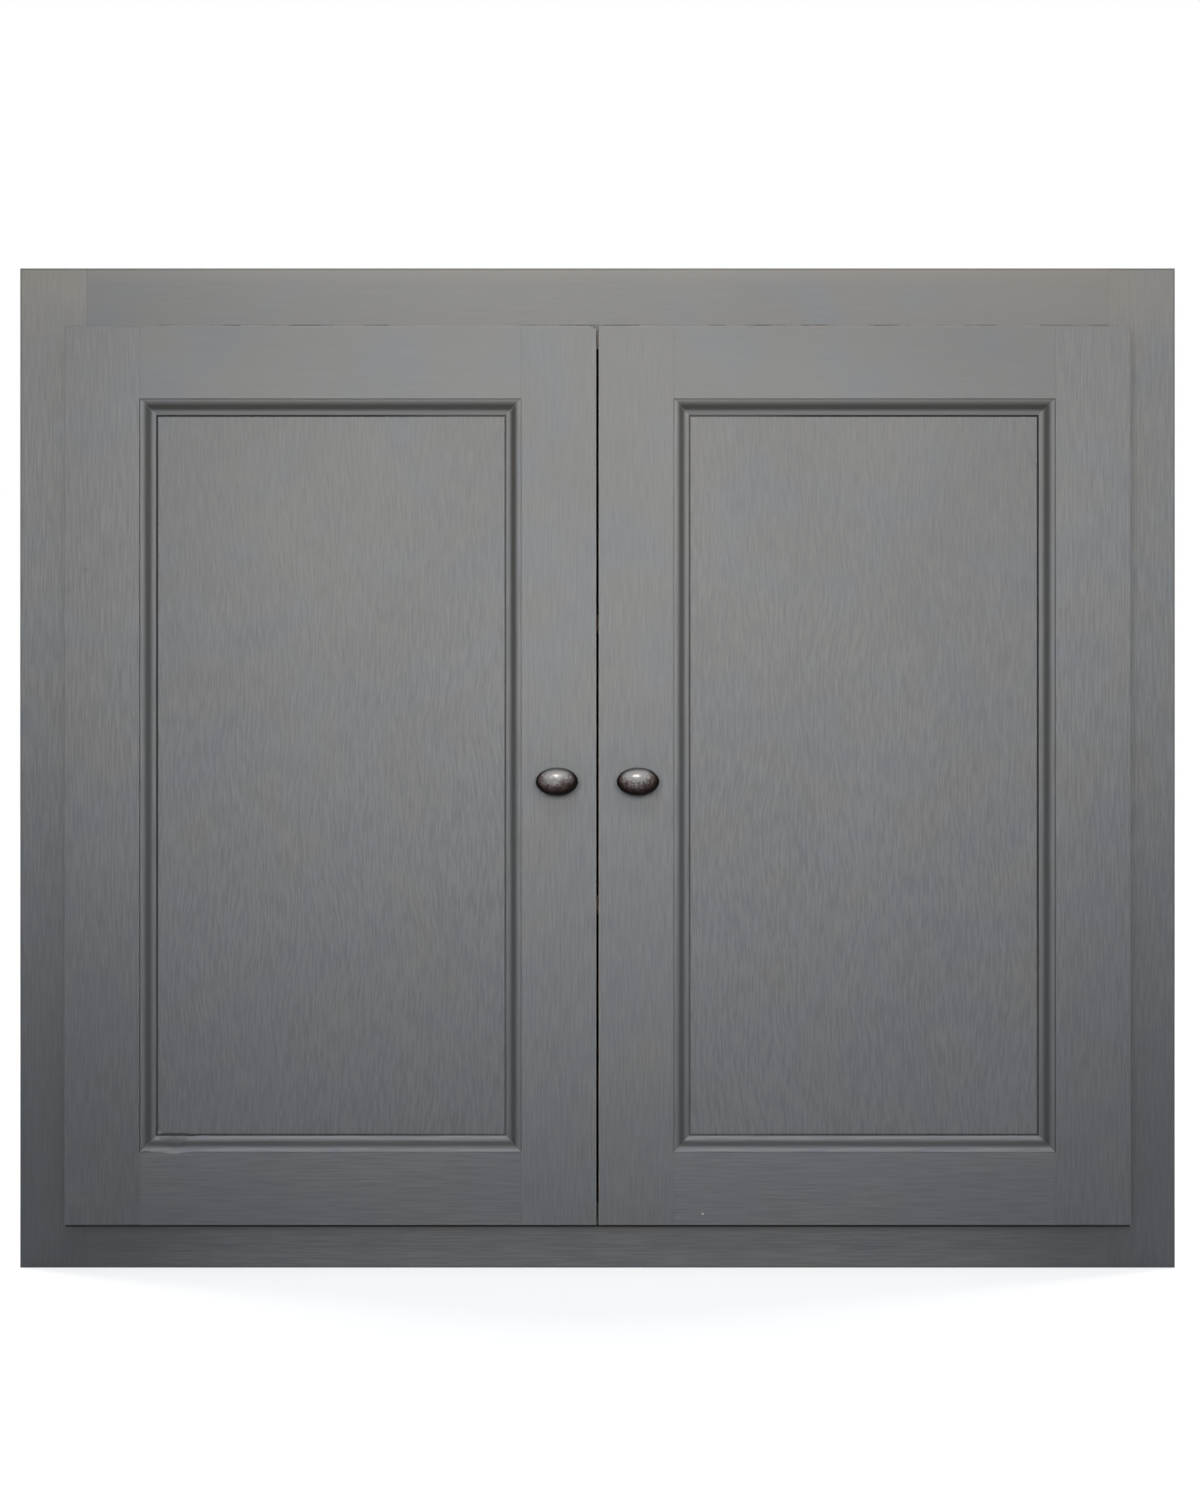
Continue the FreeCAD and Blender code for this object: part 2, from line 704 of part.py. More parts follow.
def left_cup_pin(z):
    """Pin across the well of a cup."""
    half_pin = link_half_height + cup_link_play + cup_pin_hold
    return bar(hinge_pin_radius, cup_pin + Vector(0, 0, z - half_pin), upwards, half_pin * 2)


def left_link(z):
    """Cranked link from the pin in the cup to the pin in the arm."""
    low_z = z - link_half_height
    high_z = z + link_half_height
    run_y = door_back_y - link_depth
    near_corner = Vector(door_outer_x + link_near_edge_distance, run_y, 0)
    far_corner = Vector(door_outer_x + link_far_edge_distance, run_y, 0)
    path = (cup_pin, near_corner, far_corner, arm_pin)
    shapes = [rounded_bar(start, end, link_thickness, low_z, high_z)
              for start, end in zip(path, path[1:])]
    for pin, radius in ((cup_pin, link_cup_eye_radius), (arm_pin, link_arm_eye_radius)):
        shapes.append(bar(radius, pin + Vector(0, 0, low_z), upwards, high_z - low_z))
    holes = [bar(hinge_pin_radius + hinge_pin_play, pin + Vector(0, 0, low_z - overrun), upwards,
                 high_z - low_z + overrun * 2) for pin in (cup_pin, arm_pin)]
    return joined(shapes).cut(holes)


def left_arm_screws(maker):
    """Two wood screws, or their holes, through the base of each left arm."""
    x = -frame_inner_x + arm_base_thickness
    return [maker(Vector(x, frame_middle_y, z + side * arm_screw_spacing / 2), outwards_left,
                  arm_screw_length) for z in hinge_levels for side in (-1, 1)]


def left_arm(z):
    """Hinge arm: a base on the frame's inner edge and two cheeks that hold a pin."""
    base = box((-frame_inner_x, -frame_inner_x + arm_base_thickness),
               (frame_front_y + arm_base_inset, frame_back_y - arm_base_inset),
               (z - arm_base_half_height, z + arm_base_half_height))
    root = Vector(-frame_inner_x + arm_cheek_width / 2, door_back_y + arm_root_setback, 0)
    inner = link_half_height + arm_link_play
    outer = inner + arm_cheek_thickness
    cheeks = [rounded_bar(root, arm_pin, arm_cheek_width, z + low, z + high)
              for low, high in ((-outer, -inner), (inner, outer))]
    pin_hole = bar(hinge_pin_radius + hinge_pin_play, arm_pin + Vector(0, 0, z - outer - overrun),
                   upwards, (outer + overrun) * 2)
    return joined([base] + cheeks).cut([pin_hole] + left_arm_screws(screw_hole))


def left_arm_pin(z):
    """Pin through both cheeks of an arm."""
    half_pin = link_half_height + arm_link_play + arm_cheek_thickness
    return bar(hinge_pin_radius, arm_pin + Vector(0, 0, z - half_pin), upwards, half_pin * 2)


def left_catch_screws(maker):
    """Two wood screws, or their holes, up into the top rail."""
    offset = catch_half_width + catch_ear_width / 2
    return [maker(Vector(catch_x + side * offset, frame_middle_y, mouth_top_z - catch_ear_thickness),
                  upwards, catch_screw_length) for side in (-1, 1)]


def left_catch_housing():
    """Catch body under the top rail, open in front for its magnet."""
    front_y = frame_front_y + catch_front_gap
    body = box((catch_x - catch_half_width, catch_x + catch_half_width),
               (front_y, front_y + catch_depth), (mouth_top_z - catch_height, mouth_top_z))
    half_span = catch_half_width + catch_ear_width
    ears = box((catch_x - half_span, catch_x + half_span), (front_y, front_y + catch_depth),
               (mouth_top_z - catch_ear_thickness, mouth_top_z))
    half_x = magnet_half_width + magnet_play
    half_z = magnet_height / 2 + magnet_play
    pocket = box((catch_x - half_x, catch_x + half_x),
                 (frame_front_y - overrun, frame_front_y + magnet_depth + magnet_play),
                 (strike_level - half_z, strike_level + half_z))
    return joined([body, ears]).cut([pocket] + left_catch_screws(screw_hole))


def left_catch_magnet():
    """Magnet that stands a little out of its housing."""
    return box((catch_x - magnet_half_width, catch_x + magnet_half_width),
               (frame_front_y, frame_front_y + magnet_depth),
               (strike_level - magnet_height / 2, strike_level + magnet_height / 2))


def left_strike_screw(maker):
    """The strike plate's wood screw, or its hole."""
    return maker(Vector(catch_x, door_back_y + strike_thickness, strike_level), forwards,
                 strike_screw_length)


def left_strike_plate():
    """Steel plate on the back of the door that the magnet pulls."""
    plate = box((catch_x - strike_half_width, catch_x + strike_half_width),
                (door_back_y, door_back_y + strike_thickness),
                (strike_level - strike_height / 2, strike_level + strike_height / 2))
    return plate.cut(left_strike_screw(screw_hole))


def left_bumpers():
    """Soft pads where the door meets the frame's rails."""
    x = door_meeting_x - bumper_inset
    levels = (door_bottom_z + rail_overlay / 2, door_top_z - rail_overlay / 2)
    return [bar(bumper_radius, Vector(x, door_back_y, z), backwards, bumper_thickness)
            for z in levels]


def save_both(name, shapes):
    """Write a left piece or group, and its mirror image on the right."""
    save("left_" + name, *shapes)
    save("right_" + name, *[mirrored(shape) for shape in shapes])


def build_carcass():
    """Boards, rails and fastenings of the carcass."""
    save_both("side_panel", [left_side_panel()])
    save("top_panel", floor_or_top(top_under_z))
    save("bottom_panel", floor_or_top(floor_under_z))
    save("rear_plinth_rail", rear_plinth_rail())
    save("back_panel", back_panel())
    save("back_panel_screws", *back_panel_screws())
    save("hanging_rail", hanging_rail())
    save("lower_shelf", shelf(lower_shelf_row))
    save("upper_shelf", shelf(upper_shelf_row))
    save("shelf_pegs", *shelf_pegs())


def build_face_frame():
    """Face frame, its dowels and the catches under its top rail."""
    stile = left_frame_stile()
    save("face_frame_left_stile", stile)
    save("face_frame_right_stile", mirrored(stile))
    save("face_frame_top_rail", frame_top_rail())
    save("face_frame_bottom_rail", frame_rail(0, frame_bottom_rail_height, 0))
    save("frame_dowels", *frame_dowels())
    for node, shapes in (("catch_housings", [left_catch_housing()]),
                         ("catch_magnets", [left_catch_magnet()]),
                         ("catch_screws", left_catch_screws(wood_screw))):
        save(node, *shapes, *[mirrored(shape) for shape in shapes])


def build_hinges():
    """Arms and links, with their pins and screws."""
    save_both("hinge_arms", [left_arm(z) for z in hinge_levels])
    save_both("hinge_links", [left_link(z) for z in hinge_levels])
    for node, shapes in (("hinge_arm_pins", [left_arm_pin(z) for z in hinge_levels]),
                         ("hinge_arm_screws", left_arm_screws(wood_screw))):
        save(node, *shapes, *[mirrored(shape) for shape in shapes])


def build_doors():
    """Both doors with what is fixed on them."""
    save_both("door_hinge_stile", [left_hinge_stile()])
    save_both("door_meeting_stile", [left_meeting_stile()])
    save_both("door_bottom_rail", [door_rail(door_bottom_z, opening_bottom_z, tenon_shoulder,
                                             groove_depth)])
    save_both("door_top_rail", [door_rail(opening_top_z, door_top_z, groove_depth,
                                          tenon_shoulder)])
    save_both("door_panel", [door_panel()])
    for name, piece in door_mouldings().items():
        save_both("door_" + name, [piece])
    save_both("knob", [left_knob()])
    save_both("knob_screw", [left_knob_screw()])
    save_both("hinge_cups", [left_cup(z) for z in hinge_levels])
    save_both("hinge_cup_pins", [left_cup_pin(z) for z in hinge_levels])
    save_both("hinge_cup_screws", left_cup_screws(wood_screw))
    save_both("strike_plate", [left_strike_plate()])
    save_both("strike_screw", [left_strike_screw(wood_screw)])
    save_both("door_bumpers", left_bumpers())


os.makedirs("parts", exist_ok=True)
build_carcass()
build_face_frame()
build_hinges()
build_doors()
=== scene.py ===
import math

import bpy
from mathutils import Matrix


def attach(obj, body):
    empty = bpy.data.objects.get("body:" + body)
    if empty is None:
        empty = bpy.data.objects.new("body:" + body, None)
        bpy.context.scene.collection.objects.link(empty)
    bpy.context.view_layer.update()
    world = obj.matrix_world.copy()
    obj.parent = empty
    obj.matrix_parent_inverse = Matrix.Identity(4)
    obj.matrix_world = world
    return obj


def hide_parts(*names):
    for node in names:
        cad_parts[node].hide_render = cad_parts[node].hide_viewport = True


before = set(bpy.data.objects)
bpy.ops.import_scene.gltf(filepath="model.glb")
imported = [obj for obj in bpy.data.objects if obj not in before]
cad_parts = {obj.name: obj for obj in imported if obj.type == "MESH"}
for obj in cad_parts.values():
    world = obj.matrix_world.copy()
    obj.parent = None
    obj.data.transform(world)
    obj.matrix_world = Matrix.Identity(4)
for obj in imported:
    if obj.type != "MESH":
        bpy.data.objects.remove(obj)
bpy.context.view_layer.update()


# Carcass sides and top.
# The two side boards and the top board of the carcass are brushed with grey paint outside.
# Inside, the sides are unpainted pine, bored with two columns of holes for the shelf pegs.

class Finish:
    """A finish under construction: its nodes, its shader and the place on the piece."""

    def __init__(self, name):
        self.material = bpy.data.materials.new(name)
        self.material.use_nodes = True
        self.nodes = self.material.node_tree.nodes
        self.links = self.material.node_tree.links
        self.shader = self.nodes["Principled BSDF"]
        self.place = self.add("TexCoord").outputs["Object"]
        axes = self.add("SeparateXYZ", Vector=self.place).outputs
        self.x, self.y, self.z = axes[0], axes[1], axes[2]

    def put(self, socket, value):
        if isinstance(value, bpy.types.NodeSocket):
            self.links.new(value, socket)
        else:
            socket.default_value = value

    def add(self, kind, settings=None, **inputs):
        made = self.nodes.new("ShaderNode" + kind)
        for name, value in (settings or {}).items():
            setattr(made, name, value)
        for name, value in inputs.items():
            self.put(made.inputs[name.replace("_", " ")], value)
        return made

    def sum(self, operation, *values):
        """The result of one calculation on numbers and sockets."""
        made = self.add("Math", {"operation": operation})
        for socket, value in zip(made.inputs, values):
            self.put(socket, value)
        return made.outputs[0]

    def fade(self, value, start, end, first=0.0, last=1.0):
        """A number that goes from first to last while value goes from start to end."""
        made = self.add("MapRange", {"interpolation_type": "SMOOTHSTEP"}, Value=value,
                        From_Min=start, From_Max=end, To_Min=first, To_Max=last)
        return made.outputs[0]

    def stretched(self, grain, across, along, shift=(0.0, 0.0, 0.0)):
        """Places measured in marks that are so wide across the grain and so long along it."""
        scale = [1 / (along if axis == grain else across) for axis in "xyz"]
        return self.add("Mapping", Vector=self.place, Scale=scale, Location=shift).outputs[0]

    def noise(self, places, detail=2.0, roughness=0.5):
        return self.add("TexNoise", Vector=places, Scale=1.0, Detail=detail,
                        Roughness=roughness).outputs[0]

    def mixed(self, share, first, second):
        made = self.add("Mix", {"data_type": "RGBA"})
        self.put(made.inputs[0], share)
        for socket, value in ((made.inputs[6], first), (made.inputs[7], second)):
            self.put(socket, value if isinstance(value, bpy.types.NodeSocket) else (*value, 1))
        return made.outputs[2]

    def raised(self, height, depth, strength=1.0):
        """Relief of that depth in metres."""
        made = self.add("Bump", Height=height, Distance=depth, Strength=strength)
        self.put(self.shader.inputs["Normal"], made.outputs[0])

    def surface(self, **inputs):
        for name, value in inputs.items():
            value = (*value, 1) if isinstance(value, tuple) else value
            self.put(self.shader.inputs[name.replace("_", " ")], value)


def dress(finish, *names):
    """Give CAD nodes a finish."""
    for name in names:
        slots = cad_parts[name].data.materials
        slots.clear()
        slots.append(finish.material)


pine_early = (0.60, 0.425, 0.245)
pine_late = (0.40, 0.225, 0.095)
pine_knot = (0.13, 0.055, 0.022)


def pine_figure(finish, grain, pith):
    """Colour and relief of pine: yearly rings round a pith along the grain, and some knots."""
    knots = finish.add("TexVoronoi", Vector=finish.stretched(grain, 0.15, 0.26, (0.31, 0.12, 0.47)),
                       Scale=1.0).outputs[0]
    swirl = finish.fade(knots, 0.0, 0.32, 9.0, 0.0)
    rings = finish.add("TexWave", {"wave_type": "RINGS", "rings_direction": grain.upper(),
                                   "wave_profile": "SAW"},
                       Vector=finish.stretched(grain, 0.0135, 0.42, pith), Scale=1.0,
                       Distortion=5.5, Detail=2.0, Detail_Scale=0.35,
                       Phase_Offset=swirl).outputs[1]
    late = finish.sum("POWER", rings, 2.2)
    pores = finish.noise(finish.stretched(grain, 0.0008, 0.03))
    cloud = finish.noise(finish.stretched(grain, 0.05, 0.4))
    share = finish.sum("MULTIPLY_ADD", pores, 0.3, finish.sum("MULTIPLY", late, 0.8))
    share = finish.sum("MULTIPLY_ADD", cloud, 0.35, finish.sum("SUBTRACT", share, 0.3))
    colour = finish.mixed(finish.fade(share, 0.0, 1.0), pine_early, pine_late)
    colour = finish.mixed(finish.fade(knots, 0.035, 0.075, 0.9, 0.0), colour, pine_knot)
    relief = finish.sum("MULTIPLY_ADD", pores, 0.5, finish.sum("MULTIPLY", late, 0.5))
    return colour, relief


paint_dark = (0.163, 0.167, 0.174)
paint_light = (0.212, 0.215, 0.219)
paint_worn = (0.262, 0.252, 0.243)
paint_deep = (0.085, 0.085, 0.088)
# Darker, bluer paint low down: dirt, and painted shade for the light falling off towards the floor.
paint_soiled_and_shaded = (0.086, 0.091, 0.098)
paint_gloss = 0.35
paint_cool = (0.962, 1.0, 1.03)
paint_warm = (1.022, 1.0, 0.97)
hair_lengths = {"x": 0.045, "z": 0.03}
board_sheen = (0.56, 0.68)
stroke_depth = 0.0002
carcass_stroke_depth = 0.00022


def paint_figure(finish, grain, tone=1.0, clouds=0.22, streaks=0.22, hair=1.0,
                 hair_length=hair_lengths["x"]):
    """Colour, relief and evenness of brushed grey paint whose marks run along the grain."""
    hairs = finish.noise(finish.stretched(grain, 0.0016, hair_length), 2.0, 0.6)
    strokes = finish.noise(finish.stretched(grain, 0.0075, 0.22))
    cloud = finish.noise(finish.stretched(grain, 0.14, 0.26))
    specks = finish.noise(finish.stretched(None, 0.0013, 0.0013), 1.0)
    coarseness = finish.fade(finish.z, 0.15, 0.85, 3.0, 0.3 if grain == "x" else 0.9)
    share = finish.sum("MULTIPLY", finish.sum("SUBTRACT", hairs, 0.5), coarseness)
    share = finish.sum("MULTIPLY", share, hair)
    share = finish.sum("MULTIPLY_ADD", finish.sum("SUBTRACT", strokes, 0.5), streaks, share)
    share = finish.sum("MULTIPLY_ADD", finish.sum("SUBTRACT", cloud, 0.5), clouds * 2, share)
    share = finish.sum("MULTIPLY_ADD", finish.sum("SUBTRACT", specks, 0.5), 0.2, share)
    relief = finish.sum("MULTIPLY_ADD", strokes, streaks * 1.6, hairs)
    share = finish.sum("ADD", share, 0.5)
    share = finish.fade(share, 0.0, 1.0)
    coats = []
    for tint in (paint_cool, paint_warm):
        dark, light = (tuple(part * hue * tone for part, hue in zip(colour, tint))
                       for colour in (paint_dark, paint_light))
        coats.append(finish.mixed(share, dark, light))
    # Random blush between the cool and the warm coat, plus painted light: the paint turns cooler
    # towards the bottom and warmer towards the top, as the light's colour changes with height.
    blush_and_light_tint = finish.noise(finish.stretched(None, 0.06, 0.06))
    blush_and_light_tint = finish.sum("ADD", blush_and_light_tint, finish.fade(finish.z, 0.05, 0.85, -0.13, 0.13))
    return finish.mixed(finish.fade(blush_and_light_tint, 0.35, 0.65), *coats), relief, strokes


def edge_distance(finish, across, low_z, high_z):
    """How far a place on the front is inside a border that lies alike on the left and right."""
    wide = finish.sum("ABSOLUTE", finish.x)
    distance = finish.sum("SUBTRACT", across[1], wide)
    if across[0] > 0:
        distance = finish.sum("MINIMUM", distance, finish.sum("SUBTRACT", wide, across[0]))
    distance = finish.sum("MINIMUM", distance, finish.sum("SUBTRACT", finish.z, low_z))
    return finish.sum("MINIMUM", distance, finish.sum("SUBTRACT", high_z, finish.z))


def worn_edge(finish, colour, distance, front, reach=0.0016, most=0.8):
    """Thin, rubbed paint along a border of the front and just round its corner, broken by noise."""
    rub = finish.noise(finish.stretched(None, 0.006, 0.006), 3.0, 0.65)
    reached = finish.sum("MULTIPLY_ADD", rub, reach, distance)
    share = finish.fade(reached, reach * 0.7, reach * 1.5, most, 0.0)
    round_corner = finish.fade(finish.y, front + reach * 0.3, front + reach * 1.5, 1.0, 0.1)
    return finish.mixed(finish.sum("MULTIPLY", share, round_corner), colour, paint_worn)


def soiled_and_shaded(finish, colour, most):
    """Paint that is darker and bluer low down: scuffs and dirt, and painted shade as the light
    falls off.
    """
    return finish.mixed(finish.fade(finish.z, 0.08, 0.75, most, 0.0), colour, paint_soiled_and_shaded)


def distance_to(finish, x, z):
    """How far it is to a place on the front."""
    away_x = finish.sum("SUBTRACT", finish.x, x)
    away_z = finish.sum("SUBTRACT", finish.z, z)
    return finish.sum("SQRT", finish.sum("ADD", finish.sum("MULTIPLY", away_x, away_x),
                                         finish.sum("MULTIPLY", away_z, away_z)))


def marked(finish, colour, marks):
    """Small round spots of another colour at places on the front: filled holes, chips, darker
    spots.
    """
    for x, z, radius, change, most in marks:
        away = distance_to(finish, x, z)
        spot = finish.fade(away, radius * 0.5, radius * 1.2, most, 0.0)
        colour = finish.mixed(spot, colour, change)
    return colour


def brushed(finish, relief, evenness, depth=stroke_depth, strength=0.6, sheen=board_sheen):
    """Give the paint its brush marks, and a sheen that is uneven from stroke to stroke."""
    finish.surface(Roughness=finish.fade(evenness, 0.2, 0.8, *sheen),
                   Specular_IOR_Level=paint_gloss)
    finish.raised(relief, depth, strength)


cabinet_half_width = 0.52
cabinet_height = 0.9
side_inner = 0.502
side_back = 0.2255
side_paint_end = 0.0005
side_wood_start = 0.0011

sides = Finish("side_paint_and_pine")
paint, paint_relief, evenness = paint_figure(sides, "z", 1.05, hair_length=hair_lengths["z"])
paint = soiled_and_shaded(sides, paint, 0.6)
paint = worn_edge(sides, paint, sides.sum("SUBTRACT", side_back, sides.y), side_back, 0.002)
wood, wood_relief = pine_figure(sides, "z", (4.0, 9.0, 0.0))
inside = sides.fade(sides.sum("ABSOLUTE", sides.x), side_inner + side_paint_end,
                    side_inner + side_wood_start, 1.0, 0.0)
sides.surface(Base_Color=sides.mixed(inside, paint, wood))
relief = sides.sum("MULTIPLY_ADD", wood_relief, inside, paint_relief)
brushed(sides, relief, evenness, carcass_stroke_depth)
dress(sides, "left_side_panel", "right_side_panel")

top = Finish("top_paint")
paint, paint_relief, evenness = paint_figure(top, "x", clouds=0.5)
top.surface(Base_Color=paint)
brushed(top, paint_relief, evenness, carcass_stroke_depth)
dress(top, "top_panel")


# Floor, shelves and the rails behind.
# Unpainted pine boards: the floor is held in the sides' housings, the shelves lie loose on pegs,
# one rail carries the wall screws and one stands under the floor's back edge.

def pine_board(name, grain, pith, node):
    """Dress a board in unpainted pine, cut at its own distance from the pith."""
    board = Finish(name)
    wood, wood_relief = pine_figure(board, grain, pith)
    board.surface(Base_Color=wood, Roughness=0.52)
    board.raised(wood_relief, 0.00018, 0.5)
    dress(board, node)


pine_board("floor_pine", "x", (0.0, 2.0, 9.0), "bottom_panel")
pine_board("lower_shelf_pine", "x", (3.0, -5.0, -33.0), "lower_shelf")
pine_board("upper_shelf_pine", "x", (7.0, 4.0, -35.0), "upper_shelf")
pine_board("hanging_rail_pine", "x", (5.0, -24.0, -62.0), "hanging_rail")
pine_board("plinth_rail_pine", "x", (1.0, -25.0, 5.0), "rear_plinth_rail")


# Back panel.
# A thin veneered board let into rebates in the sides and over the floor and the top,
# fixed all round with zinc-plated countersunk screws.

board_pale = (0.34, 0.21, 0.115)
board_deep = (0.23, 0.13, 0.068)

back = Finish("back_board_veneer")
sheen = back.noise(back.stretched("z", 0.004, 0.12), 3.0, 0.6)
figure = back.add("TexWave", {"wave_type": "RINGS", "rings_direction": "Y", "wave_profile": "SIN"},
                  Vector=back.stretched("z", 0.17, 1.6, (0.6, 0.0, 0.4)), Scale=1.0, Distortion=9.0,
                  Detail=3.0, Detail_Scale=0.8, Detail_Roughness=0.6).outputs[1]
share = back.sum("MULTIPLY_ADD", sheen, 0.9, back.sum("MULTIPLY_ADD", figure, 0.16, -0.05))
back.surface(Base_Color=back.mixed(back.fade(share, 0.0, 1.0), board_pale, board_deep),
             Roughness=0.62)
back.raised(sheen, 0.00012, 0.5)
dress(back, "back_panel")


def plated(name, colour, roughness, grime=0.6):
    """Plated or bare metal with a little tarnish, uneven gloss and fine scratches."""
    metal = Finish(name)
    tarnish = metal.noise(metal.stretched(None, 0.006, 0.006), 3.0, 0.6)
    scratches = metal.noise(metal.stretched("z", 0.0004, 0.009))
    dull = tuple(part * grime for part in colour)
    metal.surface(Base_Color=metal.mixed(metal.fade(tarnish, 0.4, 0.75), colour, dull),
                  Metallic=1.0,
                  Roughness=metal.fade(tarnish, 0.3, 0.75, roughness, roughness + 0.15))
    metal.raised(scratches, 0.00003, 0.4)
    return metal


zinc_screws = plated("zinc_screws", (0.60, 0.57, 0.49), 0.34)
dress(zinc_screws, "back_panel_screws")


# Shelf pegs.
# Nickel-plated steel pegs pushed into the sides' holes, each with a small plate under a shelf.

dress(plated("nickel_pegs", (0.62, 0.61, 0.59), 0.26, 0.75), "shelf_pegs")


# Face frame.
# Two stiles and two rails, tenoned together and dowelled to the carcass, brushed with the same
# grey paint, and the joints show as fine lines. Painted shade darkens it just inside the outer
# edges, under and above the doors and towards the rails' ends, and a painted highlight lightens its
# top.

frame_front = -0.1745
frame_joint = 0.46
frame_hair = {"x": 1.4, "z": 1.9}
frame_wear = 0.25
joint_line = 0.0007
door_shade_level = 0.0380
door_shade_width = 0.0024
door_shade_ends = (0.4785, 0.4800)
door_shadow_starts = (0.0295, 0.0370)
door_shadow_ends = (0.0385, 0.0395)
door_top_line = 0.8487
door_top_edge = (0.8445, 0.8455)
highlight_levels = {"x": (0.883, 0.899), "z": (0.8, 0.899)}
highlight_share = {"x": 0.35, "z": 0.45}
# Near-black paint, used only for painted shade: under the doors, on the doors' meeting edges and
# where the mouldings meet the panels.
paint_shade_black = (0.012, 0.011, 0.011)
paint_highlight = (0.27, 0.245, 0.215)


def joint_lines(finish, colour, places):
    """Fine dark lines where rails meet stiles, alike on the left and right."""
    wide = finish.sum("ABSOLUTE", finish.x)
    for place in places:
        away = finish.sum("ABSOLUTE", finish.sum("SUBTRACT", wide, place))
        share = finish.fade(away, joint_line * 0.4, joint_line * 1.4, 0.3, 0.0)
        colour = finish.mixed(share, colour, paint_deep)
    return colour


def frame_paint(name, grain, tone, soil_and_shade=0.0):
    """A finish for a piece of the frame, and its colour, which the piece can add to."""
    painted = Finish(name)
    paint, relief, evenness = paint_figure(painted, grain, tone, 0.1, hair=frame_hair[grain],
                                           hair_length=hair_lengths[grain])
    paint = soiled_and_shaded(painted, paint, soil_and_shade)
    # Painted highlight: lighter, warmer paint along the top of the frame's front.
    highlight = painted.fade(painted.z, *highlight_levels[grain], 0.0, highlight_share[grain])
    facing = painted.fade(painted.y, frame_front + 0.001, frame_front + 0.006, 1.0, 0.2)
    paint = painted.mixed(painted.sum("MULTIPLY", highlight, facing), paint, paint_highlight)
    if grain == "x":
        wide = painted.sum("ABSOLUTE", painted.x)
        # Painted shade: the rails darken towards their ends, where the light falls off.
        towards_ends = painted.fade(wide, 0.3, frame_joint, 0.0, soil_and_shade * 1.7)
        paint = painted.mixed(towards_ends, paint, paint_soiled_and_shaded)
        # Painted shadow: a broken dark line on the top rail just above the doors' top edge, weaker
        # on the left and stronger on the right.
        above = painted.sum("ABSOLUTE", painted.sum("SUBTRACT", painted.z, door_top_line))
        broken = painted.noise(painted.stretched("x", 0.02, 0.045, (0.4, 0.0, 0.1)), 3.0, 0.7)
        broken = painted.sum("ADD", broken, painted.fade(painted.x, -0.4, 0.4, -0.05, 0.09))
        line = painted.sum("MULTIPLY", painted.fade(above, 0.0003, 0.0009, 0.85, 0.0),
                           painted.fade(broken, 0.5, 0.62))
        paint = painted.mixed(line, paint, paint_deep)
    distance = edge_distance(painted, (0, cabinet_half_width), 0.0, cabinet_height)
    paint = worn_edge(painted, paint, distance, frame_front, most=frame_wear)
    # Painted shade: darker paint on the front just inside the frame's outer edges.
    facing = painted.fade(painted.y, frame_front + 0.0005, frame_front + 0.0020, 1.0, 0.0)
    turned = painted.sum("MULTIPLY", painted.fade(distance, 0.0010, 0.0024, 0.5, 0.0), facing)
    paint = painted.mixed(turned, paint, paint_deep)
    # Painted shadow under the doors, on the frame between the doors' outer edges: a near-black line
    # where the doors' lower edge hides the frame, and a softer dark band round and below it.
    below = painted.sum("ABSOLUTE", painted.sum("SUBTRACT", painted.z, door_shade_level))
    line = painted.fade(below, door_shade_width * 0.35, door_shade_width * 0.65, 0.97, 0.0)
    covered = painted.fade(painted.sum("ABSOLUTE", painted.x), *door_shade_ends, 1.0, 0.0)
    door_shadow = painted.fade(painted.z, *door_shadow_starts, 0.0, 0.4)
    door_shadow = painted.sum("MULTIPLY", door_shadow, painted.fade(painted.z, *door_shadow_ends, 1.0, 0.0))
    paint = painted.mixed(painted.sum("MULTIPLY", door_shadow, covered), paint, paint_deep)
    paint = painted.mixed(painted.sum("MULTIPLY", line, covered), paint, paint_shade_black)
    if grain == "x":
        paint = joint_lines(painted, paint, (frame_joint,))
    brushed(painted, relief, evenness)
    return painted, paint


left_stile, paint = frame_paint("left_frame_stile_paint", "z", 1.06, 0.77)
left_stile.surface(Base_Color=paint)
dress(left_stile, "face_frame_left_stile")

right_stile, paint = frame_paint("right_frame_stile_paint", "z", 1.025, 0.64)
right_stile.surface(Base_Color=paint)
dress(right_stile, "face_frame_right_stile")

bottom_rail, paint = frame_paint("bottom_frame_rail_paint", "x", 1.12, 0.3)
# Painted shade: the bottom rail darkens further towards its left end.
left_end_shade = bottom_rail.fade(bottom_rail.x, -0.45, -0.2, 0.22, 0.0)
paint = bottom_rail.mixed(left_end_shade, paint, paint_soiled_and_shaded)
bottom_rail.surface(Base_Color=paint)
dress(bottom_rail, "face_frame_bottom_rail")

bare_wood = (0.44, 0.345, 0.315)

top_rail, paint = frame_paint("top_frame_rail_paint", "x", 1.0)
# Painted highlight: lighter paint towards the right end of the top rail.
paint = top_rail.mixed(top_rail.fade(top_rail.x, 0.1, 0.45, 0.0, 0.28), paint, paint_highlight)
chips = top_rail.noise(top_rail.stretched(None, 0.0022, 0.0022), 3.0, 0.7)
under_gap = top_rail.sum("MULTIPLY_ADD", chips, 0.012, top_rail.sum("ABSOLUTE", top_rail.x))
under_gap = top_rail.fade(under_gap, 0.0070, 0.0090, 1.0, 0.0)
behind_doors = top_rail.fade(top_rail.z, *door_top_edge, 1.0, 0.0)
paint = top_rail.mixed(top_rail.sum("MULTIPLY", under_gap, behind_doors), paint, bare_wood)
top_rail.surface(Base_Color=paint)
dress(top_rail, "face_frame_top_rail")

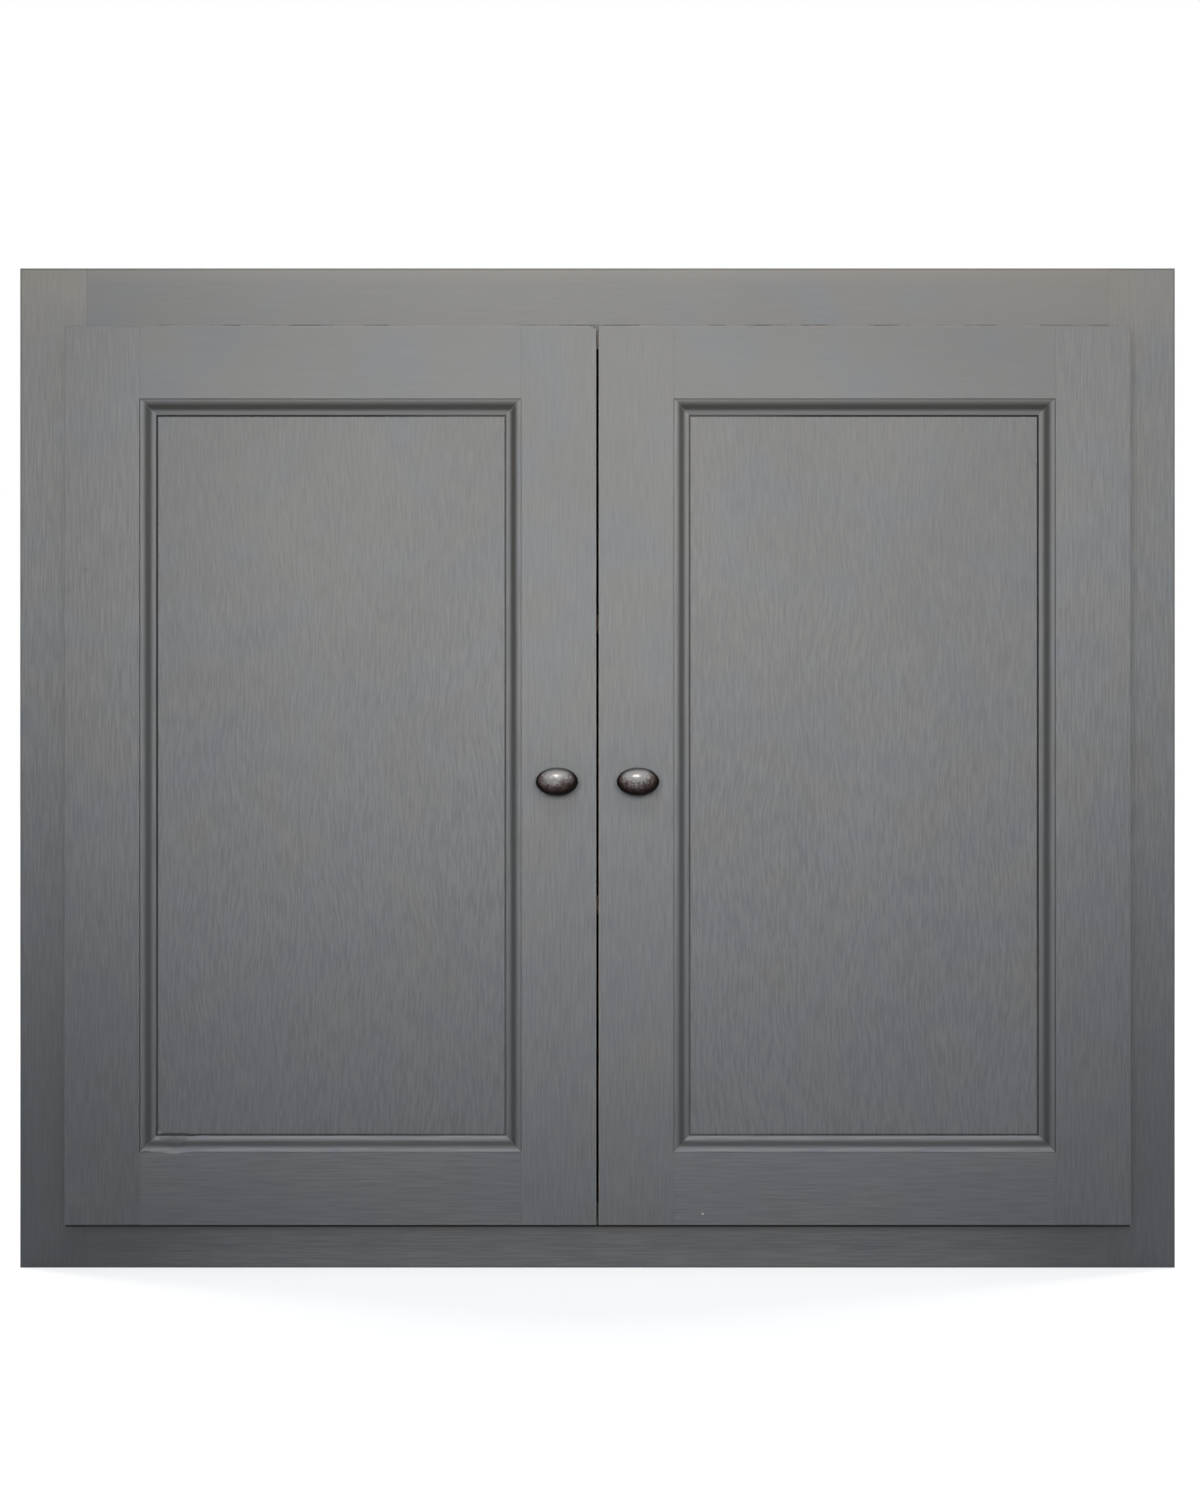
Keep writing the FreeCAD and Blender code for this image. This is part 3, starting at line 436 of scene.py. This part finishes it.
dowels = Finish("beech_dowels")
flecks = dowels.noise(dowels.stretched("y", 0.0009, 0.008))
dowels.surface(Base_Color=dowels.mixed(flecks, (0.66, 0.49, 0.32), (0.50, 0.34, 0.20)),
               Roughness=0.6)
dowels.raised(flecks, 0.0001, 0.5)
dress(dowels, "frame_dowels")


# Catches.
# Two moulded nylon housings screwed up under the top rail, each round a ferrite magnet.

nylon = Finish("catch_nylon")
grit = nylon.noise(nylon.stretched(None, 0.0006, 0.0006))
nylon.surface(Base_Color=nylon.mixed(grit, (0.66, 0.59, 0.47), (0.58, 0.51, 0.40)), Roughness=0.45)
nylon.raised(grit, 0.00004, 0.5)
dress(nylon, "catch_housings")

ferrite = Finish("ferrite_magnets")
grit = ferrite.noise(ferrite.stretched(None, 0.0004, 0.0004))
ferrite.surface(Base_Color=ferrite.mixed(grit, (0.040, 0.040, 0.045), (0.075, 0.075, 0.08)),
                Roughness=0.55)
ferrite.raised(grit, 0.00006, 0.5)
dress(ferrite, "catch_magnets")
dress(zinc_screws, "catch_screws")


# Hinges.
# Nickel-plated arms screwed to the frame's inner edges, with cranked links on steel pins.

nickel = plated("nickel_hinges", (0.64, 0.63, 0.61), 0.24, 0.8)
pins = plated("steel_pins", (0.48, 0.48, 0.48), 0.3, 0.7)
dress(nickel, "left_hinge_arms", "right_hinge_arms", "left_hinge_links", "right_hinge_links")
dress(pins, "hinge_arm_pins")
dress(zinc_screws, "hinge_arm_screws")


# Door frames.
# Each door has two stiles and two rails round its panel, mortised together and brushed in grey:
# the marks run down the stiles and across the rails, and the outer edges are rubbed.

door_front = -0.1985
door_edges = (0.001, 0.476)
door_bottom = 0.042
door_top = 0.845
opening_edges = (0.068, 0.409)
opening_bottom = 0.107
opening_top = 0.780
meeting_edge = (0.0011, 0.0014)
meeting_depths = (-0.1980, -0.1965)
low_corner_from = 0.2
low_corner_levels = (0.08, 0.12)


def door_paint(name, grain, tone, soil_and_shade=0.0, hair=1.0, marks=(), wear=0.8):
    """A finish for a door's stile or rail, with painted shade on the edges that face the other
    door.
    """
    painted = Finish(name)
    paint, relief, evenness = paint_figure(painted, grain, tone, hair=hair,
                                           hair_length=hair_lengths[grain])
    paint = soiled_and_shaded(painted, paint, soil_and_shade)
    distance = edge_distance(painted, door_edges, door_bottom, door_top)
    paint = worn_edge(painted, paint, distance, door_front, most=wear)
    # Painted shade: the edges that face the other door turn near black behind the front.
    wide = painted.sum("ABSOLUTE", painted.x)
    gap_shade = painted.sum("MULTIPLY", painted.fade(wide, *meeting_edge, 1.0, 0.0),
                         painted.fade(painted.y, *meeting_depths, 0.0, 0.9))
    paint = painted.mixed(gap_shade, paint, paint_shade_black)
    if grain == "x":
        # The bottom rails darken towards the outer ends of their lower edge.
        low_corner = painted.sum(
            "MULTIPLY", painted.fade(wide, low_corner_from, opening_edges[1], 0.0, 0.2),
            painted.fade(painted.z, *low_corner_levels, 1.0, 0.0))
        paint = painted.mixed(low_corner, paint, paint_soiled_and_shaded)
        paint = joint_lines(painted, paint, opening_edges)
    painted.surface(Base_Color=marked(painted, paint, marks))
    brushed(painted, relief, evenness)
    return painted


filled = (0.135, 0.138, 0.145)
fleck = (0.62, 0.60, 0.57)
filled_hole = [(-0.457, 0.627, 0.003, filled, 0.5)]
pale_fleck = [(0.094, 0.052, 0.0011, fleck, 0.8)]
corner_chips = [(-0.0026, 0.8437, 0.0017, paint_deep, 0.85),
                (-0.0050, 0.8446, 0.0011, paint_deep, 0.7),
                (-0.0072, 0.8448, 0.0009, paint_deep, 0.6)]
dress(door_paint("left_hinge_stile_paint", "z", 1.01, 0.61, 1.8, filled_hole, 0.1),
      "left_door_hinge_stile")
dress(door_paint("right_hinge_stile_paint", "z", 1.03, 0.48, 1.7, wear=0.3),
      "right_door_hinge_stile")
dress(door_paint("meeting_stile_paint", "z", 0.985, 0.25, 0.85, corner_chips),
      "left_door_meeting_stile", "right_door_meeting_stile")
dress(door_paint("left_door_rail_paint", "x", 0.985, 0.31),
      "left_door_top_rail", "left_door_bottom_rail")
dress(door_paint("right_door_rail_paint", "x", 0.995, 0.25, 1.0, pale_fleck),
      "right_door_top_rail", "right_door_bottom_rail")


# Door panels.
# Flat wooden panels, loose in the grooves. The wood's long flame figure shows faintly through
# the paint, whose marks run down.

panel_front = -0.1885
grain_bend = 0.024
crevice_shade_end = 0.0157
crevice_shade_softness = 0.0003
crevice_shade_wander = 0.0006


def panel_paint(name, tone, soil_and_shade, shift, marks, gaps):
    """A finish for a panel, with painted shade: a near-black line where its mouldings end."""
    painted = Finish(name)
    bend = painted.noise(painted.stretched("z", 0.085, 0.16, shift), 1.0)
    moved = painted.add("CombineXYZ", X=painted.sum("MULTIPLY", bend, grain_bend)).outputs[0]
    painted.place = painted.add("Mapping", Vector=painted.place, Location=moved).outputs[0]
    paint, relief, evenness = paint_figure(painted, "z", tone, 0.26, 0.14, 1.15, 0.02)
    paint = soiled_and_shaded(painted, paint, soil_and_shade)
    inwards = edge_distance(painted, opening_edges, opening_bottom, opening_top)
    ragged = painted.noise(painted.stretched(None, 0.004, 0.004))
    inwards = painted.sum("MULTIPLY_ADD", ragged, crevice_shade_wander, inwards)
    for x, z, reach, more in gaps:
        wider = painted.fade(distance_to(painted, x, z), reach * 0.5, reach, more, 0.0)
        inwards = painted.sum("SUBTRACT", inwards, wider)
    worst = painted.fade(painted.sum("ABSOLUTE", painted.x), 0.13, 0.2, 0.75, 0.98)
    worst = painted.sum("MULTIPLY", worst, painted.fade(painted.z, 0.2, 0.4, 0.8, 1.0))
    # Painted shade: a near-black line on the panel's front along the mouldings' feet, with a ragged
    # course.
    crevice_shade = painted.fade(inwards, crevice_shade_end - crevice_shade_softness, crevice_shade_end + crevice_shade_softness, 1.0, 0.0)
    facing = painted.fade(painted.y, panel_front, panel_front + 0.0006, 1.0, 0.0)
    worst = painted.sum("MULTIPLY", worst, facing)
    paint = painted.mixed(painted.sum("MULTIPLY", crevice_shade, worst), paint, paint_shade_black)
    painted.surface(Base_Color=marked(painted, paint, marks))
    brushed(painted, relief, evenness)
    return painted


left_marks = [(-0.3925, 0.1236, 0.0022, paint_worn, 0.4)]
right_marks = [(0.314, 0.58, 0.0028, filled, 0.45), (0.344, 0.214, 0.0035, filled, 0.5)]
left_gaps = [(-0.3790, 0.1228, 0.0150, 0.0006)]
dress(panel_paint("left_panel_paint", 0.943, 0.34, (0.2, 0.0, 0.7), left_marks, left_gaps),
      "left_door_panel")
dress(panel_paint("right_panel_paint", 0.955, 0.25, (3.7, 0.0, 1.9), right_marks, ()),
      "right_door_panel")


# Mouldings.
# Planted round each panel and mitred at the corners: a flat lip, an ogee and a low toe, filled and
# softened by coats of paint. They are glued and lie against the panel, a hair off the frame.

moulding_foot = 0.0138
lip_height = 0.0097
filled_lip_height = 0.0099
lip_softness = 0.0005
ogee_start = 0.0022
ogee_end = 0.0120
toe_height = 0.0013
toe_round = 0.0006
lip_slope = 0.20
toe_slope = 0.30
open_joint = 0.0004
tight_joint = 0.0002
filled_joint = 0.00005
ogee_steps = 18
round_steps = 5
run_steps = 200
strip_length = 0.68
strip_overrun = 0.04
same_place = 1e-5
lump_height = 0.0003
lump_level = 0.62
moulding_sharpness = math.radians(38)


def moulding_section(joint, lip):
    """The section from the lip's top round to the foot: how far inwards, how far out."""
    places = [(joint, lip - lip_softness),
              (joint + lip_softness * 0.3, lip - lip_softness * 0.3),
              (joint + lip_softness, lip)]
    high = lip - lip_slope * (ogee_start - joint - lip_softness)
    low = toe_height + toe_slope * (moulding_foot - toe_round - ogee_end)
    width = ogee_end - ogee_start
    for step in range(ogee_steps + 1):
        share = step / ogee_steps
        fall = share * (lip_slope + (toe_slope - lip_slope) * share / 2) * width
        steep = high - low - (lip_slope + toe_slope) / 2 * width
        fall += steep * (share - math.sin(2 * math.pi * share) / (2 * math.pi))
        places.append((ogee_start + share * width, high - fall))
    for step in range(round_steps + 1):
        turn = step / round_steps * math.pi / 2
        places.append((moulding_foot - toe_round * (1 - math.sin(turn)),
                       toe_height - toe_round * (1 - math.cos(turn))))
    places += [(moulding_foot - toe_round / 2, 0), (joint, 0)]
    return places


def cut_mitre(place, normal):
    """Cut the run away beyond a slanted plane and close the end."""
    bpy.ops.mesh.select_all(action="SELECT")
    bpy.ops.mesh.bisect(plane_co=place, plane_no=normal, use_fill=True, clear_inner=True)


def push_filler(run, place, push, reach):
    """Push paint and filler about in a soft lump round a place on the run."""
    away = [math.dist(vertex.co, place) for vertex in run.data.vertices]
    nearest = away.index(min(away))
    bpy.ops.object.mode_set(mode="EDIT")
    bpy.context.tool_settings.mesh_select_mode = (True, False, False)
    bpy.ops.mesh.select_all(action="DESELECT")
    bpy.ops.object.mode_set(mode="OBJECT")
    run.data.vertices[nearest].select = True
    bpy.ops.object.mode_set(mode="EDIT")
    bpy.ops.transform.translate(value=push, use_proportional_edit=True, proportional_size=reach,
                                proportional_edit_falloff="SMOOTH")
    bpy.ops.object.mode_set(mode="OBJECT")


def moulding_run(name, node, body, length, corner, turn, joint, lip, finish):
    """One mitred side: drawn along X, cut to length, then turned and moved to its corner."""
    bpy.ops.object.select_all(action="DESELECT")
    bpy.ops.mesh.primitive_grid_add(x_subdivisions=run_steps, y_subdivisions=1, size=1)
    run = bpy.context.object
    run.name = name
    bpy.ops.object.mode_set(mode="EDIT")
    section = moulding_section(joint, lip)
    start = section[0]
    bpy.ops.transform.resize(value=(strip_length + strip_overrun, start[1], 1),
                             center_override=(0, 0, 0))
    bpy.ops.transform.translate(value=(strip_length / 2, -start[1] / 2, start[0]))
    bpy.ops.object.mode_set(mode="OBJECT")
    outermost = min(vertex.co.y for vertex in run.data.vertices)
    for face in run.data.polygons:
        face.select = False
    for vertex in run.data.vertices:
        vertex.select = vertex.co.y < outermost + same_place
    for edge in run.data.edges:
        edge.select = all(run.data.vertices[i].select for i in edge.vertices)
    bpy.ops.object.mode_set(mode="EDIT")
    bpy.context.tool_settings.mesh_select_mode = (False, True, False)
    for (near_in, near_out), (far_in, far_out) in zip(section, section[1:]):
        bpy.ops.mesh.extrude_region_move(
            TRANSFORM_OT_translate={"value": (0, near_out - far_out, far_in - near_in)})
    bpy.ops.mesh.select_all(action="SELECT")
    bpy.ops.mesh.remove_doubles(threshold=same_place)
    cut_mitre((0, 0, 0), (1, 0, -1))
    cut_mitre((length, 0, 0), (-1, 0, -1))
    bpy.ops.mesh.select_all(action="SELECT")
    bpy.ops.mesh.normals_make_consistent(inside=False)
    bpy.ops.object.mode_set(mode="OBJECT")
    run.rotation_euler = (0, turn, 0)
    run.location = (corner[0], panel_front, corner[1])
    bpy.ops.object.transform_apply(location=True, rotation=True, scale=True)
    wander = run.modifiers.new("uneven_paint", "DISPLACE")
    wander.texture = paint_lumps
    wander.texture_coords = "LOCAL"
    wander.strength = lump_height
    wander.mid_level = lump_level
    bpy.ops.object.modifier_apply(modifier=wander.name)
    for place, push, reach in filler.get(name, ()):
        push_filler(run, place, push, reach)
    bpy.ops.object.shade_smooth_by_angle(angle=moulding_sharpness)
    run.data.materials.append(finish.material)
    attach(run, body)
    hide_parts(node)


paint_lumps = bpy.data.textures.new("paint_lumps", "CLOUDS")
paint_lumps.noise_scale = 0.016
paint_lumps.noise_depth = 2

filler = {
    "left_moulding_bottom_run": (((-0.3915, -0.1898, 0.1200), (0, -0.0016, 0), 0.007),
                                 ((-0.3790, -0.1983, 0.1072), (0, -0.0005, -0.0015), 0.014),
                                 ((-0.3765, -0.1925, 0.1150), (0, 0.0006, -0.0018), 0.009),
                                 ((-0.3640, -0.1900, 0.1195), (0, -0.0006, -0.0006), 0.008),
                                 ((-0.4050, -0.1975, 0.1085), (0, 0.0009, 0.0006), 0.007)),
    "left_moulding_outer_run": (((-0.3950, -0.1900, 0.1235), (0, -0.0014, 0), 0.006),),
}


def moulding_paint(name, grain, tone, toe_shade_share, ogee_share, ogee_from=0.002, marks=()):
    """Grey paint, thicker and glossier than on the boards, darkened in the ogee by dirt and painted
    shade.
    """
    painted = Finish(name)
    paint, relief, evenness = paint_figure(painted, grain, tone, 0.16)
    upwards = painted.sum("MINIMUM", painted.sum("SUBTRACT", painted.z, opening_bottom),
                          painted.sum("SUBTRACT", opening_top, painted.z))
    wide = painted.sum("ABSOLUTE", painted.x)
    sideways = painted.sum("MINIMUM", painted.sum("SUBTRACT", wide, opening_edges[0]),
                           painted.sum("SUBTRACT", opening_edges[1], wide))
    inwards = upwards if grain == "x" else sideways
    # Dirt and painted shade: the ogee's hollow is darkened.
    dust_and_shade = painted.sum("MULTIPLY", painted.fade(inwards, ogee_from, dust_and_shade_start, 0.0, 1.0),
                       painted.fade(inwards, dust_and_shade_fade, ogee_end, 1.0, 0.0))
    # Painted shade on the toe, mostly on the top moulding, whose toe faces down.
    toe = painted.fade(inwards, toe_shade_start, ogee_end, 0.0, toe_shade_share)
    paint = painted.mixed(toe, paint, paint_deep)
    paint = painted.mixed(painted.sum("MULTIPLY", dust_and_shade, ogee_share), paint, dust_and_shade_colour)
    from_mitre = painted.sum("ABSOLUTE", painted.sum("SUBTRACT", upwards, sideways))
    paint = painted.mixed(painted.fade(from_mitre, 0.0003, 0.0009, 0.35, 0.0), paint, paint_worn)
    paint = soiled_and_shaded(painted, paint, 0.5 if grain == "z" else 0.0)
    painted.surface(Base_Color=marked(painted, paint, marks))
    brushed(painted, relief, evenness, moulding_stroke_depth, 0.5, moulding_sheen)
    return painted


dust_and_shade_colour = (0.048, 0.047, 0.045)
dust_and_shade_start = 0.0065
dust_and_shade_fade = 0.0080
toe_shade_start = 0.0095
moulding_stroke_depth = 0.00015
moulding_sheen = (0.46, 0.56)
# Darker spots in the bottom moulding's hollow near its left corner.
hollow_marks = [(-0.3880, 0.1168, 0.0050, paint_deep, 0.4),
                (-0.3800, 0.1170, 0.0060, paint_deep, 0.5),
                (-0.3715, 0.1170, 0.0050, paint_deep, 0.35)]
# Painted light and shade, for light from above and a little from the right: the bottom moulding is
# lighter, the top one darker with its dark hollow reaching the lip, and the uprights that face left
# are darker than those that face right.
bottom_paint = moulding_paint("bottom_moulding_paint", "x", 1.38, 0.0, 0.74, marks=hollow_marks)
top_paint = moulding_paint("top_moulding_paint", "x", 0.88, 0.42, 0.97, -0.002)
upright_paints = {}
for place, tone, ogee_share in (("left_outer", 0.99, 0.79), ("left_inner", 0.90, 0.95),
                                ("right_inner", 0.98, 0.81), ("right_outer", 0.97, 0.87)):
    upright_paints[place] = moulding_paint(place + "_moulding_paint", "z", tone, 0.06, ogee_share)
opening_width = opening_edges[1] - opening_edges[0]
opening_height = opening_top - opening_bottom

for side, left_edge, right_edge, left_part, right_part in (
        ("left", -opening_edges[1], -opening_edges[0], "outer", "inner"),
        ("right", opening_edges[0], opening_edges[1], "inner", "outer")):
    joints = {"outer": open_joint, "inner": tight_joint}
    runs = (("bottom", opening_width, (left_edge, opening_bottom), 0,
             filled_joint, filled_lip_height, bottom_paint),
            ("top", opening_width, (right_edge, opening_top), math.pi,
             open_joint, lip_height, top_paint),
            (left_part, opening_height, (left_edge, opening_top), math.pi / 2,
             joints[left_part], lip_height, upright_paints[side + "_" + left_part]),
            (right_part, opening_height, (right_edge, opening_bottom), -math.pi / 2,
             joints[right_part], lip_height, upright_paints[side + "_" + right_part]))
    for part, length, corner, turn, joint, lip, finish in runs:
        moulding_run(side + "_moulding_" + part + "_run", side + "_door_moulding_" + part,
                     side + "_door", length, corner, turn, joint, lip, finish)


# Knobs.
# Oval cast knobs with an aged pewter finish whose colour is patina together with painted reflection
# and shade: light on top, dark brown in the lower half, towards the ends and on the right, and near
# black round the rim and towards the back. Each is held by a machine screw from behind the door.

knob_half_length = 0.019
knob_half_height = 0.01275
knob_belly = 0.0165
knob_dome = 0.0105
knob_underside = 0.007
knob_neck = 0.0056
knob_level = 0.438
knob_x = 0.036
knob_segments = 96
knob_rings = 64
skin_height = 0.00022
knob_sharpness = math.radians(40)
neck_steps = ((0.0088, 0.00505), (0.0074, 0.0048), (0.0056, 0.0048), (0.0040, 0.0053),
              (0.0028, 0.0064), (0.0019, 0.0077), (0.0016, 0.0083), (0.0010, 0.0085), (0.0, 0.0085))


def cast_knob(name, node, body, x, finish):
    """An egg-shaped head drawn from a sphere, with a waisted neck and a foot behind it."""
    bpy.ops.object.select_all(action="DESELECT")
    bpy.ops.mesh.primitive_uv_sphere_add(segments=knob_segments, ring_count=knob_rings,
                                         radius=knob_half_length, rotation=(math.pi / 2, 0, 0))
    knob = bpy.context.object
    knob.name = name
    bpy.ops.object.transform_apply(location=True, rotation=True, scale=True)
    bpy.context.tool_settings.mesh_select_mode = (True, False, False)
    for front, depth in ((True, knob_dome), (False, knob_underside)):
        bpy.ops.object.mode_set(mode="EDIT")
        bpy.ops.mesh.select_all(action="DESELECT")
        bpy.ops.object.mode_set(mode="OBJECT")
        for vertex in knob.data.vertices:
            vertex.select = vertex.co.y < -1e-6 if front else vertex.co.y > 1e-6
        bpy.ops.object.mode_set(mode="EDIT")
        bpy.ops.transform.resize(value=(1, depth / knob_half_length, 1), center_override=(0, 0, 0))
    turn = math.acos(knob_neck / knob_half_length)
    neck_y = knob_underside * math.sin(turn)
    bpy.ops.mesh.select_all(action="SELECT")
    bpy.ops.mesh.bisect(plane_co=(0, neck_y, 0), plane_no=(0, 1, 0), clear_outer=True)
    bpy.ops.object.mode_set(mode="OBJECT")
    for face in knob.data.polygons:
        face.select = False
    for vertex in knob.data.vertices:
        vertex.select = vertex.co.y > neck_y - same_place
    for edge in knob.data.edges:
        edge.select = all(knob.data.vertices[i].select for i in edge.vertices)
    bpy.ops.object.mode_set(mode="EDIT")
    bpy.context.tool_settings.mesh_select_mode = (False, True, False)
    out, radius = knob_belly - neck_y, knob_neck
    for next_out, next_radius in neck_steps:
        bpy.ops.mesh.extrude_region_move(
            TRANSFORM_OT_translate={"value": (0, out - next_out, 0)})
        bpy.ops.transform.resize(value=(next_radius / radius, 1, next_radius / radius),
                                 center_override=(0, knob_belly - next_out, 0))
        out, radius = next_out, next_radius
    bpy.ops.mesh.edge_face_add()
    bpy.ops.mesh.select_all(action="SELECT")
    bpy.ops.transform.resize(value=(1, 1, knob_half_height / knob_half_length),
                             center_override=(0, 0, 0))
    bpy.ops.transform.translate(value=(x, door_front - knob_belly, knob_level))
    bpy.ops.mesh.normals_make_consistent(inside=False)
    bpy.ops.object.mode_set(mode="OBJECT")
    pitted = knob.modifiers.new("cast_skin", "DISPLACE")
    pitted.texture = cast_skin
    pitted.texture_coords = "LOCAL"
    pitted.strength = skin_height
    pitted.mid_level = 1.0
    bpy.ops.object.modifier_apply(modifier=pitted.name)
    bpy.ops.object.shade_smooth_by_angle(angle=knob_sharpness)
    knob.data.materials.append(finish.material)
    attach(knob, body)
    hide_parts(node)


cast_skin = bpy.data.textures.new("cast_skin", "CLOUDS")
cast_skin.noise_scale = 0.0022
cast_skin.noise_depth = 1

pewter_lit = (0.32, 0.31, 0.307)
pewter_patina_shade = (0.062, 0.044, 0.040)
pewter_dark_shade = (0.014, 0.010, 0.009)
pewter_shade_behind = (0.006, 0.005, 0.005)

pewter = Finish("aged_pewter_knob")
mottle = pewter.noise(pewter.stretched(None, 0.0017, 0.0017), 4.0, 0.68)
blotch = pewter.noise(pewter.stretched(None, 0.0055, 0.0055))
# Painted reflection and shade, with patina: the colour darkens lower down, towards the ends, to the
# right and round the rim, and is near black towards the back.
height = pewter.sum("DIVIDE", pewter.sum("SUBTRACT", pewter.z, knob_level), knob_half_height)
out = pewter.sum("DIVIDE", pewter.sum("SUBTRACT", door_front - knob_belly, pewter.y), knob_dome)
middle = pewter.sum("MULTIPLY", pewter.sum("SIGN", pewter.x), knob_x)
across = pewter.sum("DIVIDE", pewter.sum("SUBTRACT", pewter.x, middle), knob_half_length)
rim_shade = pewter.fade(out, 0.05, 0.9, 1.0, 0.0)
shade = pewter.sum("MULTIPLY_ADD", height, -1.15, 0.42)
shade = pewter.sum("MULTIPLY_ADD", pewter.sum("SUBTRACT", mottle, 0.5), 1.7, shade)
shade = pewter.sum("MULTIPLY_ADD", pewter.sum("SUBTRACT", blotch, 0.5), 0.7, shade)
shade = pewter.sum("MULTIPLY_ADD", rim_shade, 0.85, shade)
shade = pewter.sum("MULTIPLY_ADD", pewter.sum("MULTIPLY", across, across), 0.75, shade)
shade = pewter.sum("MULTIPLY_ADD", across, 0.16, shade)
patina_and_shade = pewter.fade(shade, 0.0, 1.0)
colour = pewter.mixed(patina_and_shade, pewter_lit, pewter_patina_shade)
colour = pewter.mixed(pewter.fade(shade, 0.8, 1.5), colour, pewter_dark_shade)
colour = pewter.mixed(pewter.fade(out, 0.16, 0.42, 0.97, 0.0), colour, pewter_shade_behind)
pewter.surface(Base_Color=colour, Metallic=1.0, Roughness=pewter.fade(shade, 0.0, 1.2, 0.30, 0.42))
pewter.raised(mottle, 0.00012, 0.5)

cast_knob("left_cast_knob", "left_knob", "left_door", -knob_x, pewter)
cast_knob("right_cast_knob", "right_knob", "right_door", knob_x, pewter)
dress(plated("steel_knob_screws", (0.5, 0.49, 0.46), 0.3), "left_knob_screw", "right_knob_screw")


# Hinge cups, strike plates and bumpers on the doors' backs.
# Nickel cups let into the hinge stiles, thin steel plates for the magnets, and dark soft pads
# where the doors meet the frame's rails.

for side in ("left", "right"):
    dress(nickel, side + "_hinge_cups", side + "_strike_plate")
    dress(pins, side + "_hinge_cup_pins")
    dress(zinc_screws, side + "_hinge_cup_screws", side + "_strike_screw")

pads = Finish("bumper_pads")
grit = pads.noise(pads.stretched(None, 0.0008, 0.0008))
pads.surface(Base_Color=pads.mixed(grit, (0.060, 0.060, 0.062), (0.10, 0.10, 0.10)), Roughness=0.6)
pads.raised(grit, 0.00005, 0.5)
dress(pads, "left_door_bumpers", "right_door_bumpers")


# Room.
# A plain white floor and surround, three lamps in front, one higher up and two behind, and the
# camera, which looks straight at the doors.

white = (1.0, 1.0, 1.0)
fill_colour = (0.72, 1.0, 1.33)
fill_level = 0.132
floor_size = 40
floor_level = -0.0005


def shown_directly(tree):
    """1 for what the camera sees, also in metal, and 0 for the light that falls on things."""
    path = tree.nodes.new("ShaderNodeLightPath")
    shown = path.outputs["Is Camera Ray"]
    for kind in ("Is Glossy Ray", "Is Transmission Ray"):
        most = tree.nodes.new("ShaderNodeMath")
        most.operation = "MAXIMUM"
        tree.links.new(shown, most.inputs[0])
        tree.links.new(path.outputs[kind], most.inputs[1])
        shown = most.outputs[0]
    return shown


world = bpy.data.worlds.new("studio")
bpy.context.scene.world = world
world.use_nodes = True
tree = world.node_tree
sky = tree.nodes["Background"]
mix = tree.nodes.new("ShaderNodeMix")
mix.data_type = "RGBA"
tree.links.new(shown_directly(tree), mix.inputs[0])
mix.inputs[6].default_value = (*(part * fill_level for part in fill_colour), 1)
mix.inputs[7].default_value = (*white, 1)
tree.links.new(mix.outputs[2], sky.inputs["Color"])

bpy.ops.object.select_all(action="DESELECT")
bpy.ops.mesh.primitive_plane_add(size=floor_size, location=(0, 0, floor_level))
floor = bpy.context.object
floor.name = "floor"
floor_finish = Finish("white_floor")
floor_finish.surface(Base_Color=(0.6, 0.6, 0.6), Roughness=0.9, Specular_IOR_Level=0.1,
                     Emission_Color=white)
away = floor_finish.add("VectorMath", {"operation": "LENGTH"}, Vector=floor_finish.place).outputs[1]
glow = floor_finish.fade(away, 0.9, 3.0, 0.76, 0.98)
shown = shown_directly(floor_finish.material.node_tree)
floor_finish.surface(Emission_Strength=floor_finish.sum("MULTIPLY", shown, glow))
floor.data.materials.append(floor_finish.material)


def lamp(name, place, target, size, power, colour, spread=180.0, mirrored=True):
    """A rectangular lamp that faces its target, hidden from the camera."""
    data = bpy.data.lights.new(name, "AREA")
    data.shape = "RECTANGLE"
    data.size, data.size_y = size
    data.energy = power
    data.color = colour
    data.spread = math.radians(spread)
    made = bpy.data.objects.new(name, data)
    bpy.context.scene.collection.objects.link(made)
    made.location = place
    away = made.location.copy()
    away.x, away.y, away.z = (place[i] - target[i] for i in range(3))
    made.rotation_euler = away.to_track_quat("Z", "Y").to_euler()
    made.visible_camera = False
    made.visible_glossy = mirrored


front_colour = (1.0, 0.968, 0.922)
high_colour = (1.0, 0.96, 0.91)
front_y = -2.87
doors_y = -0.19
lamp("left_front_lamp", (-0.572, front_y, 0.95), (-0.401, doors_y, 0.80), (0.364, 1.0), 2.53,
     front_colour, 44, False)
lamp("right_front_lamp", (0.505, front_y, 0.95), (0.516, doors_y, 0.80), (0.223, 1.0), 3.12,
     front_colour, 44, False)
lamp("middle_front_lamp", (-0.09, front_y, 0.976), (-0.09, doors_y, 0.689), (0.877, 1.184), 1.16,
     front_colour, 21.7, False)
lamp("high_lamp", (-0.12, -1.9, 1.97), (0.0, -0.18, 0.65), (0.3, 0.3), 0.9, high_colour, 70)
lamp("left_rear_lamp", (-2.3, 1.3, 1.7), (-0.3, 0.2, 0.4), (1.2, 1.2), 45, white)
lamp("right_rear_lamp", (2.3, 1.3, 1.7), (0.3, 0.2, 0.4), (1.2, 1.2), 45, white)

camera_x = 0.00225
camera_level = 0.4662
camera_distance = 2.9
camera_lens = 77.3

camera_data = bpy.data.cameras.new("camera")
camera = bpy.data.objects.new("camera", camera_data)
bpy.context.scene.collection.objects.link(camera)
camera.location = (camera_x, frame_front - camera_distance, camera_level)
camera.rotation_euler = (math.pi / 2, 0, 0)
camera_data.lens = camera_lens
camera_data.sensor_width = 36
bpy.context.scene.camera = camera
bpy.context.scene.view_settings.view_transform = "Standard"
